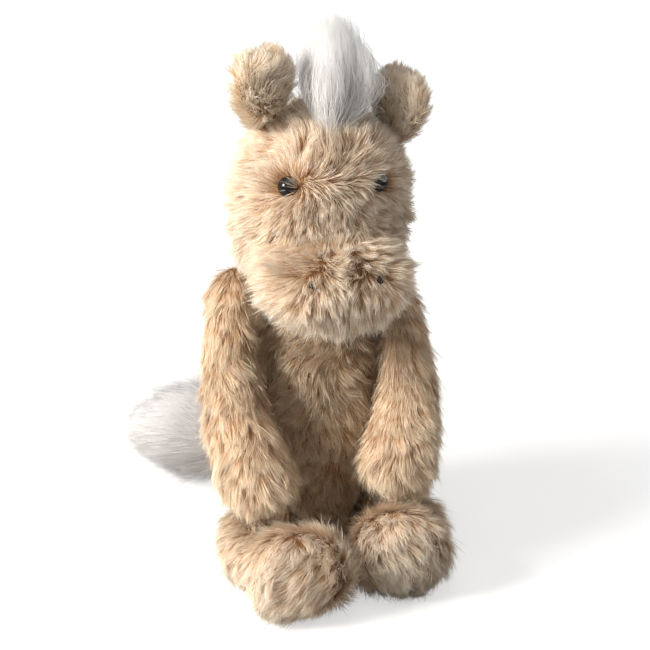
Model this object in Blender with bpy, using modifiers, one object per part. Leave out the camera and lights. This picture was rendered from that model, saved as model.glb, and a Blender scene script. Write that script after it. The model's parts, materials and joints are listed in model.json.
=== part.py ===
"""Plush horse, seated: pile fabric covers over fibre stuffing, with swinging limbs.

The horse faces -Y and its right side lies on -X. Lengths are in metres.
Every cover stands at half the height of its pile.
"""
import math

import bmesh
import bpy
from mathutils import Matrix, Vector
from mathutils.bvhtree import BVHTree

# Fabric, gaps and cutting tools
FABRIC = 0.003
SEAM_GAP = 0.0003
SLIDE_GAP = 0.0006
OVERRUN = 0.060
FLOOR_CUT = 0.0005
MERGE_THRESHOLD = 0.00001
LEAST_SIZE_SHARE = 0.2

# Torso, from the seat to the shoulders
TORSO_HEIGHT = 0.121
TORSO_HALF_WIDTH = 0.033
TORSO_HALF_DEPTH = 0.031
TORSO_BACK_SET = 0.013
BEAN_BAG_SHARE = 0.26

# Neck ball
NECK_RADIUS = 0.0155
NECK_RISE = 0.005
NECK_HEIGHT = TORSO_HEIGHT + NECK_RISE
NECK_BACK_SET = 0.009
NECK_BORE = 0.008

# Head
HEAD_HALF_WIDTH = 0.0365
HEAD_HALF_DEPTH = 0.0335
HEAD_HEIGHT = 0.075
HEAD_SINK = 0.0015
HEAD_BASE = TORSO_HEIGHT - HEAD_SINK
MUZZLE_HALF_WIDTH = 0.0305
MUZZLE_HALF_HEIGHT = 0.017
MUZZLE_LENGTH = 0.048
MUZZLE_RISE = 0.0095
MUZZLE_HEIGHT = HEAD_BASE + MUZZLE_RISE

# Eyes and nostrils
EYE_RISE_SHARE = 0.653
EYE_SPREAD_SHARE = 0.507
EYE_HEIGHT = HEAD_BASE + HEAD_HEIGHT * EYE_RISE_SHARE
EYE_SPREAD = HEAD_HALF_WIDTH * EYE_SPREAD_SHARE
EYE_RADIUS = 0.0043
EYE_DOME = 0.0030
EYE_SEAT_DEPTH = 0.0009
EYE_SHANK_RADIUS = 0.0015
EYE_SHANK_LENGTH = 0.0065
WASHER_RADIUS = 0.0048
WASHER_THICKNESS = 0.0012
WASHER_WEB = 0.0016
NOSTRIL_RISE_SHARE = 0.353
NOSTRIL_SPREAD_SHARE = 0.443
NOSTRIL_HEIGHT = MUZZLE_HEIGHT + MUZZLE_HALF_HEIGHT * NOSTRIL_RISE_SHARE
NOSTRIL_SPREAD = MUZZLE_HALF_WIDTH * NOSTRIL_SPREAD_SHARE
NOSTRIL_HALF_LENGTH = 0.0022
NOSTRIL_HALF_WIDTH = 0.0009

# Ears
RIGHT_EAR_LENGTH = 0.029
LEFT_EAR_LENGTH = 0.0255
EAR_HALF_WIDTH = 0.0125
EAR_LAYER = 0.0026
EAR_CUP = 0.0055
EAR_CURL = 0.0090
RIGHT_EAR_SPREAD_SHARE = 0.589
LEFT_EAR_SPREAD_SHARE = 0.794
EAR_FORWARD = 0.0005
EAR_ROOT_SHARE = 0.52
EAR_PLAY = 0.0012
EAR_END_PLAY = 0.0018

# White pile strips
FORELOCK_HEIGHT = 0.0395
FORELOCK_HALF_WIDTH = 0.0160
FORELOCK_HALF_DEPTH = 0.0105
FORELOCK_FRONT = 0.022
FORELOCK_LEAN = 0.0085
FORELOCK_SINK_SHARE = 0.14
FORELOCK_BACK_SHARE = 0.2
MANE_START_SHARE = 0.6
BACKING = 0.0010
BACKING_HALF_WIDTH = 0.0035
MANE_HALF_WIDTH = 0.0065
MANE_RISE = 0.0075
MANE_END_RISE = 0.0165
MANE_END_HEIGHT = HEAD_BASE + MANE_END_RISE

# Arms
SHOULDER_DROP = 0.009
SHOULDER_SPREAD_SHARE = 0.621
SHOULDER_HEIGHT = TORSO_HEIGHT - SHOULDER_DROP
SHOULDER_SPREAD = TORSO_HALF_WIDTH * SHOULDER_SPREAD_SHARE
SHOULDER_BACK_SET = 0.008
LEFT_SHOULDER_DROP = 0.003
ARM_ROOT_RADIUS = 0.0090
ARM_INSIDE_SHARE = 0.50
ARM_OUTSIDE_SHARE = 0.45
PAW_RADIUS = 0.0162
RIGHT_ARM_OUT = 0.0195
LEFT_ARM_OUT = 0.0168
RIGHT_PAW_TUCK = 0.0000
LEFT_PAW_TUCK = 0.0070
ARM_FORWARD = 0.0440
RIGHT_ARM_DROP = 0.0680
LEFT_ARM_DROP = 0.0635
SHOULDER_RISE = 0.0025
PAW_RING = 7

# Legs and feet
HIP_HEIGHT = 0.0150
HIP_SPREAD = 0.0130
HIP_FORWARD = 0.0040
LEG_RADIUS = 0.0130
LEG_OUT = 0.0265
RIGHT_LEG_REACH = 0.0400
LEFT_LEG_REACH = 0.0313
FOOT_HALF_WIDTH = 0.0225
FOOT_HALF_LENGTH = 0.0185
FOOT_HALF_HEIGHT = 0.0200
FOOT_INSET = 0.0235
FOOT_LEAD = 0.0120
FOOT_SINK = 0.0020

# Tail
TAIL_HEIGHT = 0.0285
TAIL_ROOT_RADIUS = 0.0060
TAIL_ROOT_SHARE = 0.25
TAIL_RADIUS = 0.0205
TAIL_LENGTH = 0.0880
TAIL_CORE_INSET = 0.0030
TAIL_CORE_RINGS = 5

# Angles, in degrees
ARMHOLE_TURN = 12.0
TAIL_SWEEP = 57.0
RIGHT_EAR_LEAN = 12.0
LEFT_EAR_LEAN = 24.0
RIGHT_EAR_TURN = 8.0
LEFT_EAR_TURN = 42.0

# Colours: linear base colour, roughness
TAN_PILE = (0.62, 0.42, 0.25), 0.95
TAN_LINING = (0.55, 0.36, 0.21), 0.95
WHITE_PILE = (0.86, 0.86, 0.90), 0.85
WOVEN_BACKING = (0.80, 0.78, 0.72), 0.90
FIBRE = (0.90, 0.90, 0.88), 1.00
PELLETS = (0.85, 0.88, 0.90), 0.60
BLACK_BEAD = (0.010, 0.010, 0.012), 0.08
WASHER_PLASTIC = (0.88, 0.88, 0.86), 0.45
DARK_THREAD = (0.030, 0.025, 0.022), 0.80

# Side signs: the horse's right is on -X
RIGHT = -1
LEFT = 1
SIDE_NAMES = {RIGHT: "right", LEFT: "left"}

# Sides of the cages: the covers are subdivided, the inner forms are not
COVER_SIDES = 8
WIDE_COVER_SIDES = 12
INNER_SIDES = 10
SPHERE_SEGMENTS = 20
SMALL_SEGMENTS = 10
TURNED_STEPS = 12


# Scene, collections, pivots and materials

def remove_everything():
    for item in list(bpy.data.objects):
        bpy.data.objects.remove(item, do_unlink=True)
    for item in list(bpy.data.collections):
        bpy.data.collections.remove(item)


def new_collection(name):
    group = bpy.data.collections.new(name)
    bpy.context.scene.collection.children.link(group)
    return group


remove_everything()
PARTS = new_collection("plush_horse")
CUTTERS = new_collection("cutters")
ORIGIN = bpy.data.objects.new("horse_origin", None)
PARTS.objects.link(ORIGIN)
MATERIALS = {}


def material(name, finish):
    """Returns the named material, made once."""
    if name not in MATERIALS:
        colour, roughness = finish
        made = bpy.data.materials.new(name)
        made.use_nodes = True
        shader = made.node_tree.nodes["Principled BSDF"]
        shader.inputs["Base Color"].default_value = (*colour, 1)
        shader.inputs["Roughness"].default_value = roughness
        shader.inputs["Metallic"].default_value = 0
        MATERIALS[name] = made
    return MATERIALS[name]


def new_pivot(name, place, axis, parent=ORIGIN):
    """An empty on a joint's axis, placed in the horse's own frame."""
    pivot = bpy.data.objects.new(name, None)
    pivot.empty_display_size = NECK_RADIUS
    PARTS.objects.link(pivot)
    pivot.parent = parent
    pivot["place"] = tuple(place)
    pivot["axis"] = tuple(axis)
    pivot.location = Vector(place) - Vector(parent.get("place", (0, 0, 0)))
    return pivot


def new_part(name, mesh, finish_name, finish, pivot=ORIGIN):
    """A named piece whose origin is its pivot's; the mesh comes in the horse's frame."""
    part = bpy.data.objects.new(name, mesh)
    mesh.name = name
    mesh.transform(Matrix.Translation(-Vector(pivot.get("place", (0, 0, 0)))))
    mesh.materials.clear()
    mesh.materials.append(material(finish_name, finish))
    part.parent = pivot
    PARTS.objects.link(part)
    return part


def new_cutter(name, mesh):
    cutter = bpy.data.objects.new(name, mesh)
    cutter.parent = ORIGIN
    cutter.display_type = "WIRE"
    cutter.hide_render = True
    CUTTERS.objects.link(cutter)
    return cutter


# Modifiers

def smooth(target, levels=1):
    """Subdivides a coarse cage into a soft form."""
    modifier = target.modifiers.new("soft form", "SUBSURF")
    modifier.levels = levels
    modifier.render_levels = levels
    return target


def swell(target, distance):
    """Moves a surface out along its normals."""
    modifier = target.modifiers.new("swell", "DISPLACE")
    modifier.mid_level = 0
    modifier.strength = distance
    return target


def combine(target, operation, *others):
    for other in others:
        modifier = target.modifiers.new(operation.lower(), "BOOLEAN")
        modifier.operation = operation
        modifier.solver = "EXACT"
        modifier.object = other
    return target


def cut(target, *cutters):
    return combine(target, "DIFFERENCE", *cutters)


# Lofts along stations

class Station:
    """A ring's centre with its two half axes."""

    def __init__(self, centre, across, upward):
        self.centre = Vector(centre)
        self.across = Vector(across)
        self.upward = Vector(upward)

    def inset(self, depth):
        """The same ring, drawn in by depth but never past a least share of its size."""
        def shorter(axis):
            return axis.normalized() * max(axis.length - depth, axis.length * LEAST_SIZE_SHARE)

        return Station(self.centre, shorter(self.across), shorter(self.upward))


def inset_stations(stations, depth, open_start=False):
    """Draws a closed form in by depth, also at its ends; an open start keeps its place."""
    travelled = [0.0]
    for before, after in zip(stations, stations[1:]):
        travelled.append(travelled[-1] + (after.centre - before.centre).length)
    rings = []
    for index, station in enumerate(stations):
        share = travelled[index] / travelled[-1]
        before = stations[max(index - 1, 0)].centre
        after = stations[min(index + 1, len(stations) - 1)].centre
        shift = -share if open_start else 1 - 2 * share
        ring = station.inset(depth)
        ring.centre = station.centre + (after - before).normalized() * depth * shift
        rings.append(ring)
    return rings


def loft(name, stations, sides, subdivided):
    """Bridges rings into a closed mesh. A subdivided cage is widened to keep its radius.

    An inner form is bridged by triangles, so that forms drawn in by unlike depths stay nested.
    """
    widen = 1 / math.cos(math.pi / sides) if subdivided else 1
    form = bmesh.new()
    rings = []
    for station in stations:
        ring = []
        for step in range(sides):
            angle = 2 * math.pi * (step + 0.5) / sides
            offset = station.across * math.cos(angle) + station.upward * math.sin(angle)
            ring.append(form.verts.new(station.centre + offset * widen))
        rings.append(ring)
    for lower, upper in zip(rings, rings[1:]):
        for step in range(sides):
            after = (step + 1) % sides
            if subdivided:
                form.faces.new((lower[step], lower[after], upper[after], upper[step]))
            else:
                form.faces.new((lower[step], lower[after], upper[after]))
                form.faces.new((lower[step], upper[after], upper[step]))
    form.faces.new(rings[0][::-1])
    form.faces.new(rings[-1])
    return finished_mesh(form, name)


def finished_mesh(form, name):
    """Turns all faces out and hands the mesh over, shaded smooth."""
    bmesh.ops.recalc_face_normals(form, faces=form.faces)
    mesh = bpy.data.meshes.new(name)
    form.to_mesh(mesh)
    form.free()
    mesh.shade_smooth()
    return mesh


def upright_stations(base, height, half_width, half_depth, shares):
    """Level rings up an axis: shares of height, half width, half depth and forward set."""
    rings = []
    for rise, wide, deep, ahead in shares:
        centre = Vector(base) + Vector((0, -ahead * half_depth, rise * height))
        rings.append(Station(centre, (half_width * wide, 0, 0), (0, half_depth * deep, 0)))
    return rings


def tube_stations(path, radii, first_across):
    """Round rings square to a path, their axes carried along without twist."""
    rings = []
    across = Vector(first_across)
    for index, (centre, radius) in enumerate(zip(path, radii)):
        before = path[max(index - 1, 0)]
        after = path[min(index + 1, len(path) - 1)]
        along = (after - before).normalized()
        across = (across - along * across.dot(along)).normalized()
        rings.append(Station(centre, across * radius, along.cross(across) * radius))
    return rings


# Plain solids for cuts

def ball_mesh(name, centre, radius, half_axes=None, segments=SPHERE_SEGMENTS):
    """A sphere, or an ellipsoid with the three given half axes."""
    form = bmesh.new()
    bmesh.ops.create_uvsphere(form, u_segments=segments, v_segments=segments // 2, radius=1)
    if half_axes:
        frame = Matrix([list(axis) for axis in half_axes]).transposed()
    else:
        frame = Matrix.Diagonal((radius, radius, radius))
    bmesh.ops.transform(form, matrix=Matrix.Translation(centre) @ frame.to_4x4(), verts=form.verts)
    return finished_mesh(form, name)


def rod_mesh(name, start, end, radius, segments=SPHERE_SEGMENTS):
    """A cylinder between two points."""
    start, end = Vector(start), Vector(end)
    along = end - start
    form = bmesh.new()
    bmesh.ops.create_cone(form, cap_ends=True, segments=segments, radius1=radius, radius2=radius, depth=1)
    turn = along.to_track_quat("Z", "Y").to_matrix().to_4x4()
    stretch = Matrix.Diagonal((1, 1, along.length, 1))
    place = Matrix.Translation((start + end) / 2) @ turn @ stretch
    bmesh.ops.transform(form, matrix=place, verts=form.verts)
    return finished_mesh(form, name)


def block_mesh(name, low, high):
    """A box between two corners."""
    low, high = Vector(low), Vector(high)
    form = bmesh.new()
    bmesh.ops.create_cube(form, size=1)
    size = Matrix.Diagonal((*(high - low), 1))
    bmesh.ops.transform(form, matrix=Matrix.Translation((low + high) / 2) @ size, verts=form.verts)
    return finished_mesh(form, name)


def prism_mesh(name, outline, start, end):
    """Extrudes an outline of (y, z) points along X."""
    form = bmesh.new()
    near = [form.verts.new((start, y, z)) for y, z in outline]
    face = form.faces.new(near)
    made = bmesh.ops.extrude_face_region(form, geom=[face])
    moved = [item for item in made["geom"] if isinstance(item, bmesh.types.BMVert)]
    bmesh.ops.translate(form, vec=(end - start, 0, 0), verts=moved)
    return finished_mesh(form, name)


def turned_part(name, profile, finish_name, finish, pivot, place):
    """A profile of (radius, height) points turned about its own Z axis."""
    form = bmesh.new()
    points = [form.verts.new((radius, 0, height)) for radius, height in profile]
    for first, second in zip(points, points[1:]):
        form.edges.new((first, second))
    if profile[0][0] > 0:
        form.edges.new((points[-1], points[0]))
    mesh = bpy.data.meshes.new(name)
    form.to_mesh(mesh)
    form.free()
    mesh.materials.append(material(finish_name, finish))
    part = bpy.data.objects.new(name, mesh)
    PARTS.objects.link(part)
    part.parent = pivot
    part.matrix_local = Matrix.Translation(-Vector(pivot.get("place", (0, 0, 0)))) @ place
    modifier = part.modifiers.new("turn", "SCREW")
    modifier.steps = TURNED_STEPS
    modifier.render_steps = TURNED_STEPS
    modifier.use_merge_vertices = True
    modifier.merge_threshold = MERGE_THRESHOLD
    modifier.use_smooth_shade = True
    return part


# Surface points, for pieces that sit on a form

def surface_tree(target):
    return BVHTree.FromObject(target, bpy.context.evaluated_depsgraph_get())


def surface_frame(tree, start, direction):
    """A frame on the surface that a ray meets, with its Z axis along the normal."""
    place, normal, _, _ = tree.ray_cast(Vector(start), Vector(direction))
    across = Vector((0, 0, 1)).cross(normal).normalized()
    axes = Matrix((across, normal.cross(across), normal)).transposed()
    return Matrix.Translation(place) @ axes.to_4x4()


# Torso

def build_torso():
    shares = [
        (0.00, 0.56, 0.58, 0.00), (0.01, 0.80, 0.82, 0.00), (0.07, 0.95, 0.96, 0.00), (0.24, 1.00, 1.00, 0.00),
        (0.48, 0.96, 0.94, 0.06), (0.72, 0.86, 0.78, 0.10), (0.86, 0.78, 0.58, 0.11),
        (0.95, 0.62, 0.42, 0.12), (1.00, 0.40, 0.26, 0.12),
    ]
    base = (0, TORSO_BACK_SET, -FLOOR_CUT)
    stations = upright_stations(base, TORSO_HEIGHT, TORSO_HALF_WIDTH, TORSO_HALF_DEPTH, shares)
    cover = new_part("body_cover", loft("body_cover", stations, WIDE_COVER_SIDES, True),
                     "tan_pile", TAN_PILE)
    smooth(cover)
    inner = inset_stations(stations, FABRIC)
    cavity = new_cutter("body_cavity", loft("body_cavity", inner, INNER_SIDES, False))
    fill = inset_stations(stations, FABRIC + SEAM_GAP)
    stuffing = new_part("body_stuffing", loft("body_stuffing", fill, INNER_SIDES, False),
                        "fibre", FIBRE)
    bag = new_part("seat_bean_bag", loft("seat_bean_bag", fill, INNER_SIDES, False),
                   "pellets", PELLETS)
    floor = new_cutter("floor", block_mesh("floor", (-OVERRUN, -OVERRUN, -OVERRUN), (OVERRUN, OVERRUN, 0)))
    bag_top = BEAN_BAG_SHARE * TORSO_HEIGHT
    under = new_cutter("under_stuffing", block_mesh("under_stuffing", (-OVERRUN, -OVERRUN, -OVERRUN),
                                                    (OVERRUN, OVERRUN, bag_top + SEAM_GAP)))
    over = new_cutter("over_bag", block_mesh("over_bag", (-OVERRUN, -OVERRUN, bag_top),
                                             (OVERRUN, OVERRUN, TORSO_HEIGHT + OVERRUN)))
    cut(cover, cavity, floor)
    cut(stuffing, under)
    cut(bag, over)
    return cover, stuffing, bag


# Neck

def build_neck(turn_pivot):
    centre = Vector((0, NECK_BACK_SET, NECK_HEIGHT))
    bore = Vector((0, 0, OVERRUN))
    cover = new_part("neck_cover", ball_mesh("neck_cover", centre, NECK_RADIUS),
                     "tan_pile", TAN_PILE, turn_pivot)
    hollow = new_cutter("neck_hollow", ball_mesh("neck_hollow", centre, NECK_RADIUS - FABRIC))
    opening = new_cutter("neck_opening", rod_mesh("neck_opening", centre - bore, centre + bore, NECK_BORE))
    cut(cover, hollow, opening)
    new_part("neck_stuffing", ball_mesh("neck_stuffing", centre, NECK_RADIUS - FABRIC - SEAM_GAP * 2),
             "fibre", FIBRE, turn_pivot)
    return new_cutter("neck_socket", ball_mesh("neck_socket", centre, NECK_RADIUS + SLIDE_GAP))


# Head

def head_stations():
    shares = [
        (0.00, 0.42, 0.42, -0.12), (0.04, 0.66, 0.66, -0.10), (0.16, 0.90, 0.93, -0.02),
        (0.38, 1.00, 1.00, 0.00), (0.62, 0.99, 0.98, 0.02), (0.82, 0.84, 0.80, 0.02),
        (0.95, 0.56, 0.50, 0.00), (1.00, 0.28, 0.24, -0.02),
    ]
    return upright_stations((0, 0, HEAD_BASE), HEAD_HEIGHT, HEAD_HALF_WIDTH, HEAD_HALF_DEPTH, shares)


def muzzle_stations():
    """Rings from inside the head to the tip of the nose: reach, width, height, lift."""
    shares = [
        (0.10, 0.80, 0.80, 0.10), (0.40, 0.98, 1.00, 0.05), (0.68, 1.00, 1.00, 0.00),
        (0.88, 0.84, 0.82, -0.05), (0.98, 0.54, 0.50, -0.08), (1.00, 0.22, 0.20, -0.08),
    ]
    rings = []
    for reach, wide, high, lift in shares:
        centre = (0, -reach * MUZZLE_LENGTH, MUZZLE_HEIGHT + lift * MUZZLE_HALF_HEIGHT)
        rings.append(Station(centre, (MUZZLE_HALF_WIDTH * wide, 0, 0), (0, 0, MUZZLE_HALF_HEIGHT * high)))
    return rings


def head_form(name, distance):
    """The head's outer form as a cutter, swollen by a distance."""
    form = new_cutter(name, loft(name, head_stations(), WIDE_COVER_SIDES, True))
    smooth(form)
    return swell(form, distance)


def build_head(pivot, socket):
    head, muzzle = head_stations(), muzzle_stations()
    cover = new_part("head_cover", loft("head_cover", head, WIDE_COVER_SIDES, True),
                     "tan_pile", TAN_PILE, pivot)
    smooth(cover)
    cavity = new_cutter("head_cavity", loft("head_cavity", inset_stations(head, FABRIC), INNER_SIDES, False))
    passage = new_cutter("muzzle_passage",
                         loft("muzzle_passage", inset_stations(muzzle, FABRIC, True), INNER_SIDES, False))
    nose = new_part("muzzle_cover", loft("muzzle_cover", muzzle, WIDE_COVER_SIDES, True),
                    "tan_pile", TAN_PILE, pivot)
    smooth(nose)
    fill = FABRIC + SEAM_GAP
    stuffing = new_part("head_stuffing", loft("head_stuffing", inset_stations(head, fill), INNER_SIDES, False),
                        "fibre", FIBRE, pivot)
    nose_fill = new_cutter("muzzle_fill",
                           loft("muzzle_fill", inset_stations(muzzle, fill, True), INNER_SIDES, False))
    cut(cover, cavity, passage, socket)
    cut(nose, passage, head_form("head_under_muzzle", SEAM_GAP))
    combine(stuffing, "UNION", nose_fill)
    cut(stuffing, socket)
    return cover, nose, stuffing


# Eyes and nostrils

def dome_profile():
    """Half the bead's section: dome, flat back and shank, from the tip down."""
    steps = 5
    points = []
    for step in range(steps + 1):
        angle = math.pi / 2 * step / steps
        points.append((EYE_RADIUS * math.sin(angle), EYE_DOME * math.cos(angle)))
    points += [(EYE_SHANK_RADIUS, 0), (EYE_SHANK_RADIUS, -EYE_SHANK_LENGTH), (0, -EYE_SHANK_LENGTH)]
    return points


def build_eye(side, pivot, tree, cover, stuffing):
    name = SIDE_NAMES[side]
    start = (side * EYE_SPREAD, -HEAD_HALF_DEPTH - OVERRUN, EYE_HEIGHT)
    frame = surface_frame(tree, start, (0, 1, 0))
    back = frame @ Matrix.Translation((0, 0, -EYE_SEAT_DEPTH + SEAM_GAP))
    turned_part(name + "_eye", dome_profile(), "black_bead", BLACK_BEAD, pivot, back)
    web = -EYE_SEAT_DEPTH - WASHER_WEB
    front = web - SEAM_GAP
    bore = EYE_SHANK_RADIUS + SEAM_GAP
    washer = [(WASHER_RADIUS, front), (WASHER_RADIUS, front - WASHER_THICKNESS),
              (bore, front - WASHER_THICKNESS), (bore, front)]
    turned_part(name + "_eye_washer", washer, "washer_plastic", WASHER_PLASTIC, pivot, frame)

    def coaxial(label, high, low, radius):
        top, bottom = frame @ Vector((0, 0, high)), frame @ Vector((0, 0, low))
        return new_cutter(label, rod_mesh(label, bottom, top, radius, TURNED_STEPS))

    seat = coaxial(name + "_eye_seat", OVERRUN, -EYE_SEAT_DEPTH, EYE_RADIUS + SEAM_GAP)
    hole = coaxial(name + "_shank_hole", OVERRUN, -EYE_SHANK_LENGTH - EYE_SEAT_DEPTH, bore)
    pocket = coaxial(name + "_washer_pocket", web, front - WASHER_THICKNESS - SEAM_GAP,
                     WASHER_RADIUS + SEAM_GAP)
    cut(cover, seat, hole, pocket)
    cut(stuffing, hole, pocket)


def build_nostril(side, pivot, tree, nose):
    """A satin stitch, half sunk in the muzzle."""
    name = SIDE_NAMES[side] + "_nostril"
    start = (side * NOSTRIL_SPREAD, -MUZZLE_LENGTH - OVERRUN, NOSTRIL_HEIGHT)
    frame = surface_frame(tree, start, (0, 1, 0))
    axes = frame.to_3x3()

    def half_axes(extra):
        lengths = (NOSTRIL_HALF_WIDTH, NOSTRIL_HALF_LENGTH, NOSTRIL_HALF_WIDTH)
        return [axes.col[index] * (length + extra) for index, length in enumerate(lengths)]

    stitch = ball_mesh(name, frame.translation, 1, half_axes(0), SMALL_SEGMENTS)
    new_part(name, stitch, "dark_thread", DARK_THREAD, pivot)
    dent = ball_mesh(name + "_dent", frame.translation, 1, half_axes(SEAM_GAP), SMALL_SEGMENTS)
    cut(nose, new_cutter(name + "_dent", dent))


# Ears

def ear_sheet(name, length, sink, root, along, across, front, seam):
    """An open sheet: rows up the ear, columns across it, cupped and curled forwards.

    The first two rows are as wide as the slit and run along it.
    """
    width_shares = (EAR_ROOT_SHARE, EAR_ROOT_SHARE, 0.96, 1.00, 0.62)
    height_shares = (-sink / length, EAR_PLAY / length, 0.36, 0.72, 1.0)
    column_shares = (-1, -1 / 3, 1 / 3, 1)
    form = bmesh.new()
    rows = []
    for index, (high, wide) in enumerate(zip(height_shares, width_shares)):
        row = []
        bent = max(high, 0)
        for column in column_shares:
            cup = EAR_CUP * column * column * bent
            curl = EAR_CURL * bent * bent
            sideways = across if index > 1 else seam
            place = root + along * length * high + sideways * EAR_HALF_WIDTH * wide * column
            row.append(form.verts.new(place + front * (cup + curl)))
        rows.append(row)
    for lower, upper in zip(rows, rows[1:]):
        for index in range(len(column_shares) - 1):
            form.faces.new((lower[index], lower[index + 1], upper[index + 1], upper[index]))
    if (rows[0][1].co - rows[0][0].co).cross(rows[1][0].co - rows[0][0].co).dot(front) < 0:
        bmesh.ops.reverse_faces(form, faces=form.faces)
    mesh = bpy.data.meshes.new(name)
    form.to_mesh(mesh)
    form.free()
    mesh.shade_smooth()
    return mesh


def ear_frame(side, tree):
    """Root, length, width and front directions of one ear, and its seam along the head."""
    spread_share = RIGHT_EAR_SPREAD_SHARE if side == RIGHT else LEFT_EAR_SPREAD_SHARE
    start = (side * HEAD_HALF_WIDTH * spread_share, -EAR_FORWARD, HEAD_BASE + HEAD_HEIGHT + OVERRUN)
    surface = surface_frame(tree, start, (0, 0, -1))
    root, normal = surface.translation, surface.col[2].to_3d()
    lean = math.radians(RIGHT_EAR_LEAN if side == RIGHT else LEFT_EAR_LEAN)
    along = Vector((side * math.sin(lean), 0, math.cos(lean)))
    turn = math.radians(RIGHT_EAR_TURN if side == RIGHT else LEFT_EAR_TURN)
    front = Vector((-side * math.sin(turn), -math.cos(turn), 0))
    front = (front - along * front.dot(along)).normalized()
    across = along.cross(front)
    seam = normal.cross(front).normalized()
    if seam.dot(across) < 0:
        seam.negate()
    return root, along, across, front, seam


def build_ear(side, pivot, frame, targets):
    root, along, across, front, seam = frame
    length = RIGHT_EAR_LENGTH if side == RIGHT else LEFT_EAR_LENGTH
    slit_radius = EAR_LAYER + EAR_PLAY
    half_thickness = EAR_LAYER + SEAM_GAP / 2
    sink = math.sqrt((slit_radius - SEAM_GAP) ** 2 - half_thickness ** 2)
    layers = (("_ear_lining", 1, "tan_lining", TAN_LINING), ("_ear_back", -1, "tan_pile", TAN_PILE))
    for ending, facing, finish_name, finish in layers:
        name = SIDE_NAMES[side] + ending
        sheet = ear_sheet(name, length, sink, root, along, across, front, seam)
        part = new_part(name, sheet, finish_name, finish, pivot)
        smooth(part)
        swell(part, facing * SEAM_GAP / 2)
        wall = part.modifiers.new("wall", "SOLIDIFY")
        wall.thickness = EAR_LAYER
        wall.offset = facing
        wall.use_even_offset = True
        wall.use_rim = True
    reach = seam * (EAR_HALF_WIDTH * EAR_ROOT_SHARE + EAR_END_PLAY)
    label = SIDE_NAMES[side] + "_ear_slit"
    slit = new_cutter(label, rod_mesh(label, root - reach, root + reach, slit_radius))
    for target in targets:
        cut(target, slit)


# Forelock and mane

def build_forelock(pivot):
    crown = HEAD_BASE + HEAD_HEIGHT
    shares = [
        (-0.20, 0.22, 0.45, 1.55), (0.00, 0.50, 0.80, 1.05), (0.25, 0.86, 1.00, 0.70),
        (0.50, 1.00, 0.95, 0.55), (0.74, 0.90, 0.78, 0.45), (0.92, 0.60, 0.50, 0.35),
        (1.00, 0.26, 0.22, 0.30),
    ]
    base = (0, 0, crown - FORELOCK_HEIGHT * FORELOCK_SINK_SHARE)
    stations = upright_stations(base, FORELOCK_HEIGHT, FORELOCK_HALF_WIDTH, FORELOCK_HALF_DEPTH, shares)
    for station, (rise, _, _, _) in zip(stations, shares):
        station.centre.x += FORELOCK_LEAN * math.sin(math.pi * max(rise, 0))
    pile = new_part("forelock_pile", loft("forelock_pile", stations, COVER_SIDES, True),
                    "white_pile", WHITE_PILE, pivot)
    smooth(pile)
    cut(pile, head_form("head_under_forelock", BACKING + SEAM_GAP * 2))
    strip = head_form("forelock_backing", SEAM_GAP + BACKING)
    back = FORELOCK_FRONT * FORELOCK_BACK_SHARE
    block = block_mesh("forelock_strip", (-BACKING_HALF_WIDTH, -FORELOCK_FRONT, EYE_HEIGHT),
                       (BACKING_HALF_WIDTH, back, crown + OVERRUN))
    finish_strip(strip, "forelock_strip", block, pivot)
    return back


def finish_strip(strip, label, block, pivot):
    """Turns a swollen head form into a thin strip that lies on the head."""
    CUTTERS.objects.unlink(strip)
    PARTS.objects.link(strip)
    strip.display_type = "TEXTURED"
    strip.hide_render = False
    strip.data.transform(Matrix.Translation(-Vector(pivot["place"])))
    strip.parent = pivot
    strip.data.materials.append(material("woven_backing", WOVEN_BACKING))
    combine(strip, "INTERSECT", new_cutter(label, block))
    cut(strip, head_form("head_under_" + label, SEAM_GAP))


def build_mane(pivot, forelock_back):
    middle = HEAD_BASE + HEAD_HEIGHT / 2
    width_shares = (-1.0, -0.72, 0.0, 0.72, 1.0)
    drop_shares = (0.55, 0.15, 0.0, 0.15, 0.55)
    rings = []
    for wide, drop in zip(width_shares, drop_shares):
        rise = MANE_RISE * (1 - drop)
        centre = (wide * MANE_HALF_WIDTH, 0, middle)
        rings.append(Station(centre, (0, -HEAD_HALF_DEPTH - rise, 0), (0, 0, HEAD_HEIGHT / 2 + rise)))
    crest = new_part("mane_pile", loft("mane_pile", rings, WIDE_COVER_SIDES * 2, False),
                     "white_pile", WHITE_PILE, pivot)
    start = forelock_back + FORELOCK_HALF_DEPTH * MANE_START_SHARE
    top = HEAD_BASE + HEAD_HEIGHT + OVERRUN
    front = new_cutter("mane_front", block_mesh("mane_front", (-OVERRUN, -OVERRUN, 0), (OVERRUN, start, top)))
    below = new_cutter("mane_below", block_mesh("mane_below", (-OVERRUN, -OVERRUN, 0),
                                                (OVERRUN, OVERRUN, MANE_END_HEIGHT)))
    cut(crest, front, below, head_form("head_under_mane", BACKING + SEAM_GAP * 2))
    strip = head_form("mane_backing", SEAM_GAP + BACKING)
    block = block_mesh("mane_strip", (-BACKING_HALF_WIDTH, start, MANE_END_HEIGHT),
                       (BACKING_HALF_WIDTH, OVERRUN, top))
    finish_strip(strip, "mane_strip", block, pivot)


# Arms

def shoulder_frame(side):
    """Centre of the armhole and its outward axis, which leans back."""
    height = SHOULDER_HEIGHT - (LEFT_SHOULDER_DROP if side == LEFT else 0)
    centre = Vector((side * SHOULDER_SPREAD, SHOULDER_BACK_SET, height))
    turn = math.radians(ARMHOLE_TURN)
    return centre, Vector((side * math.cos(turn), math.sin(turn), 0))


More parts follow.
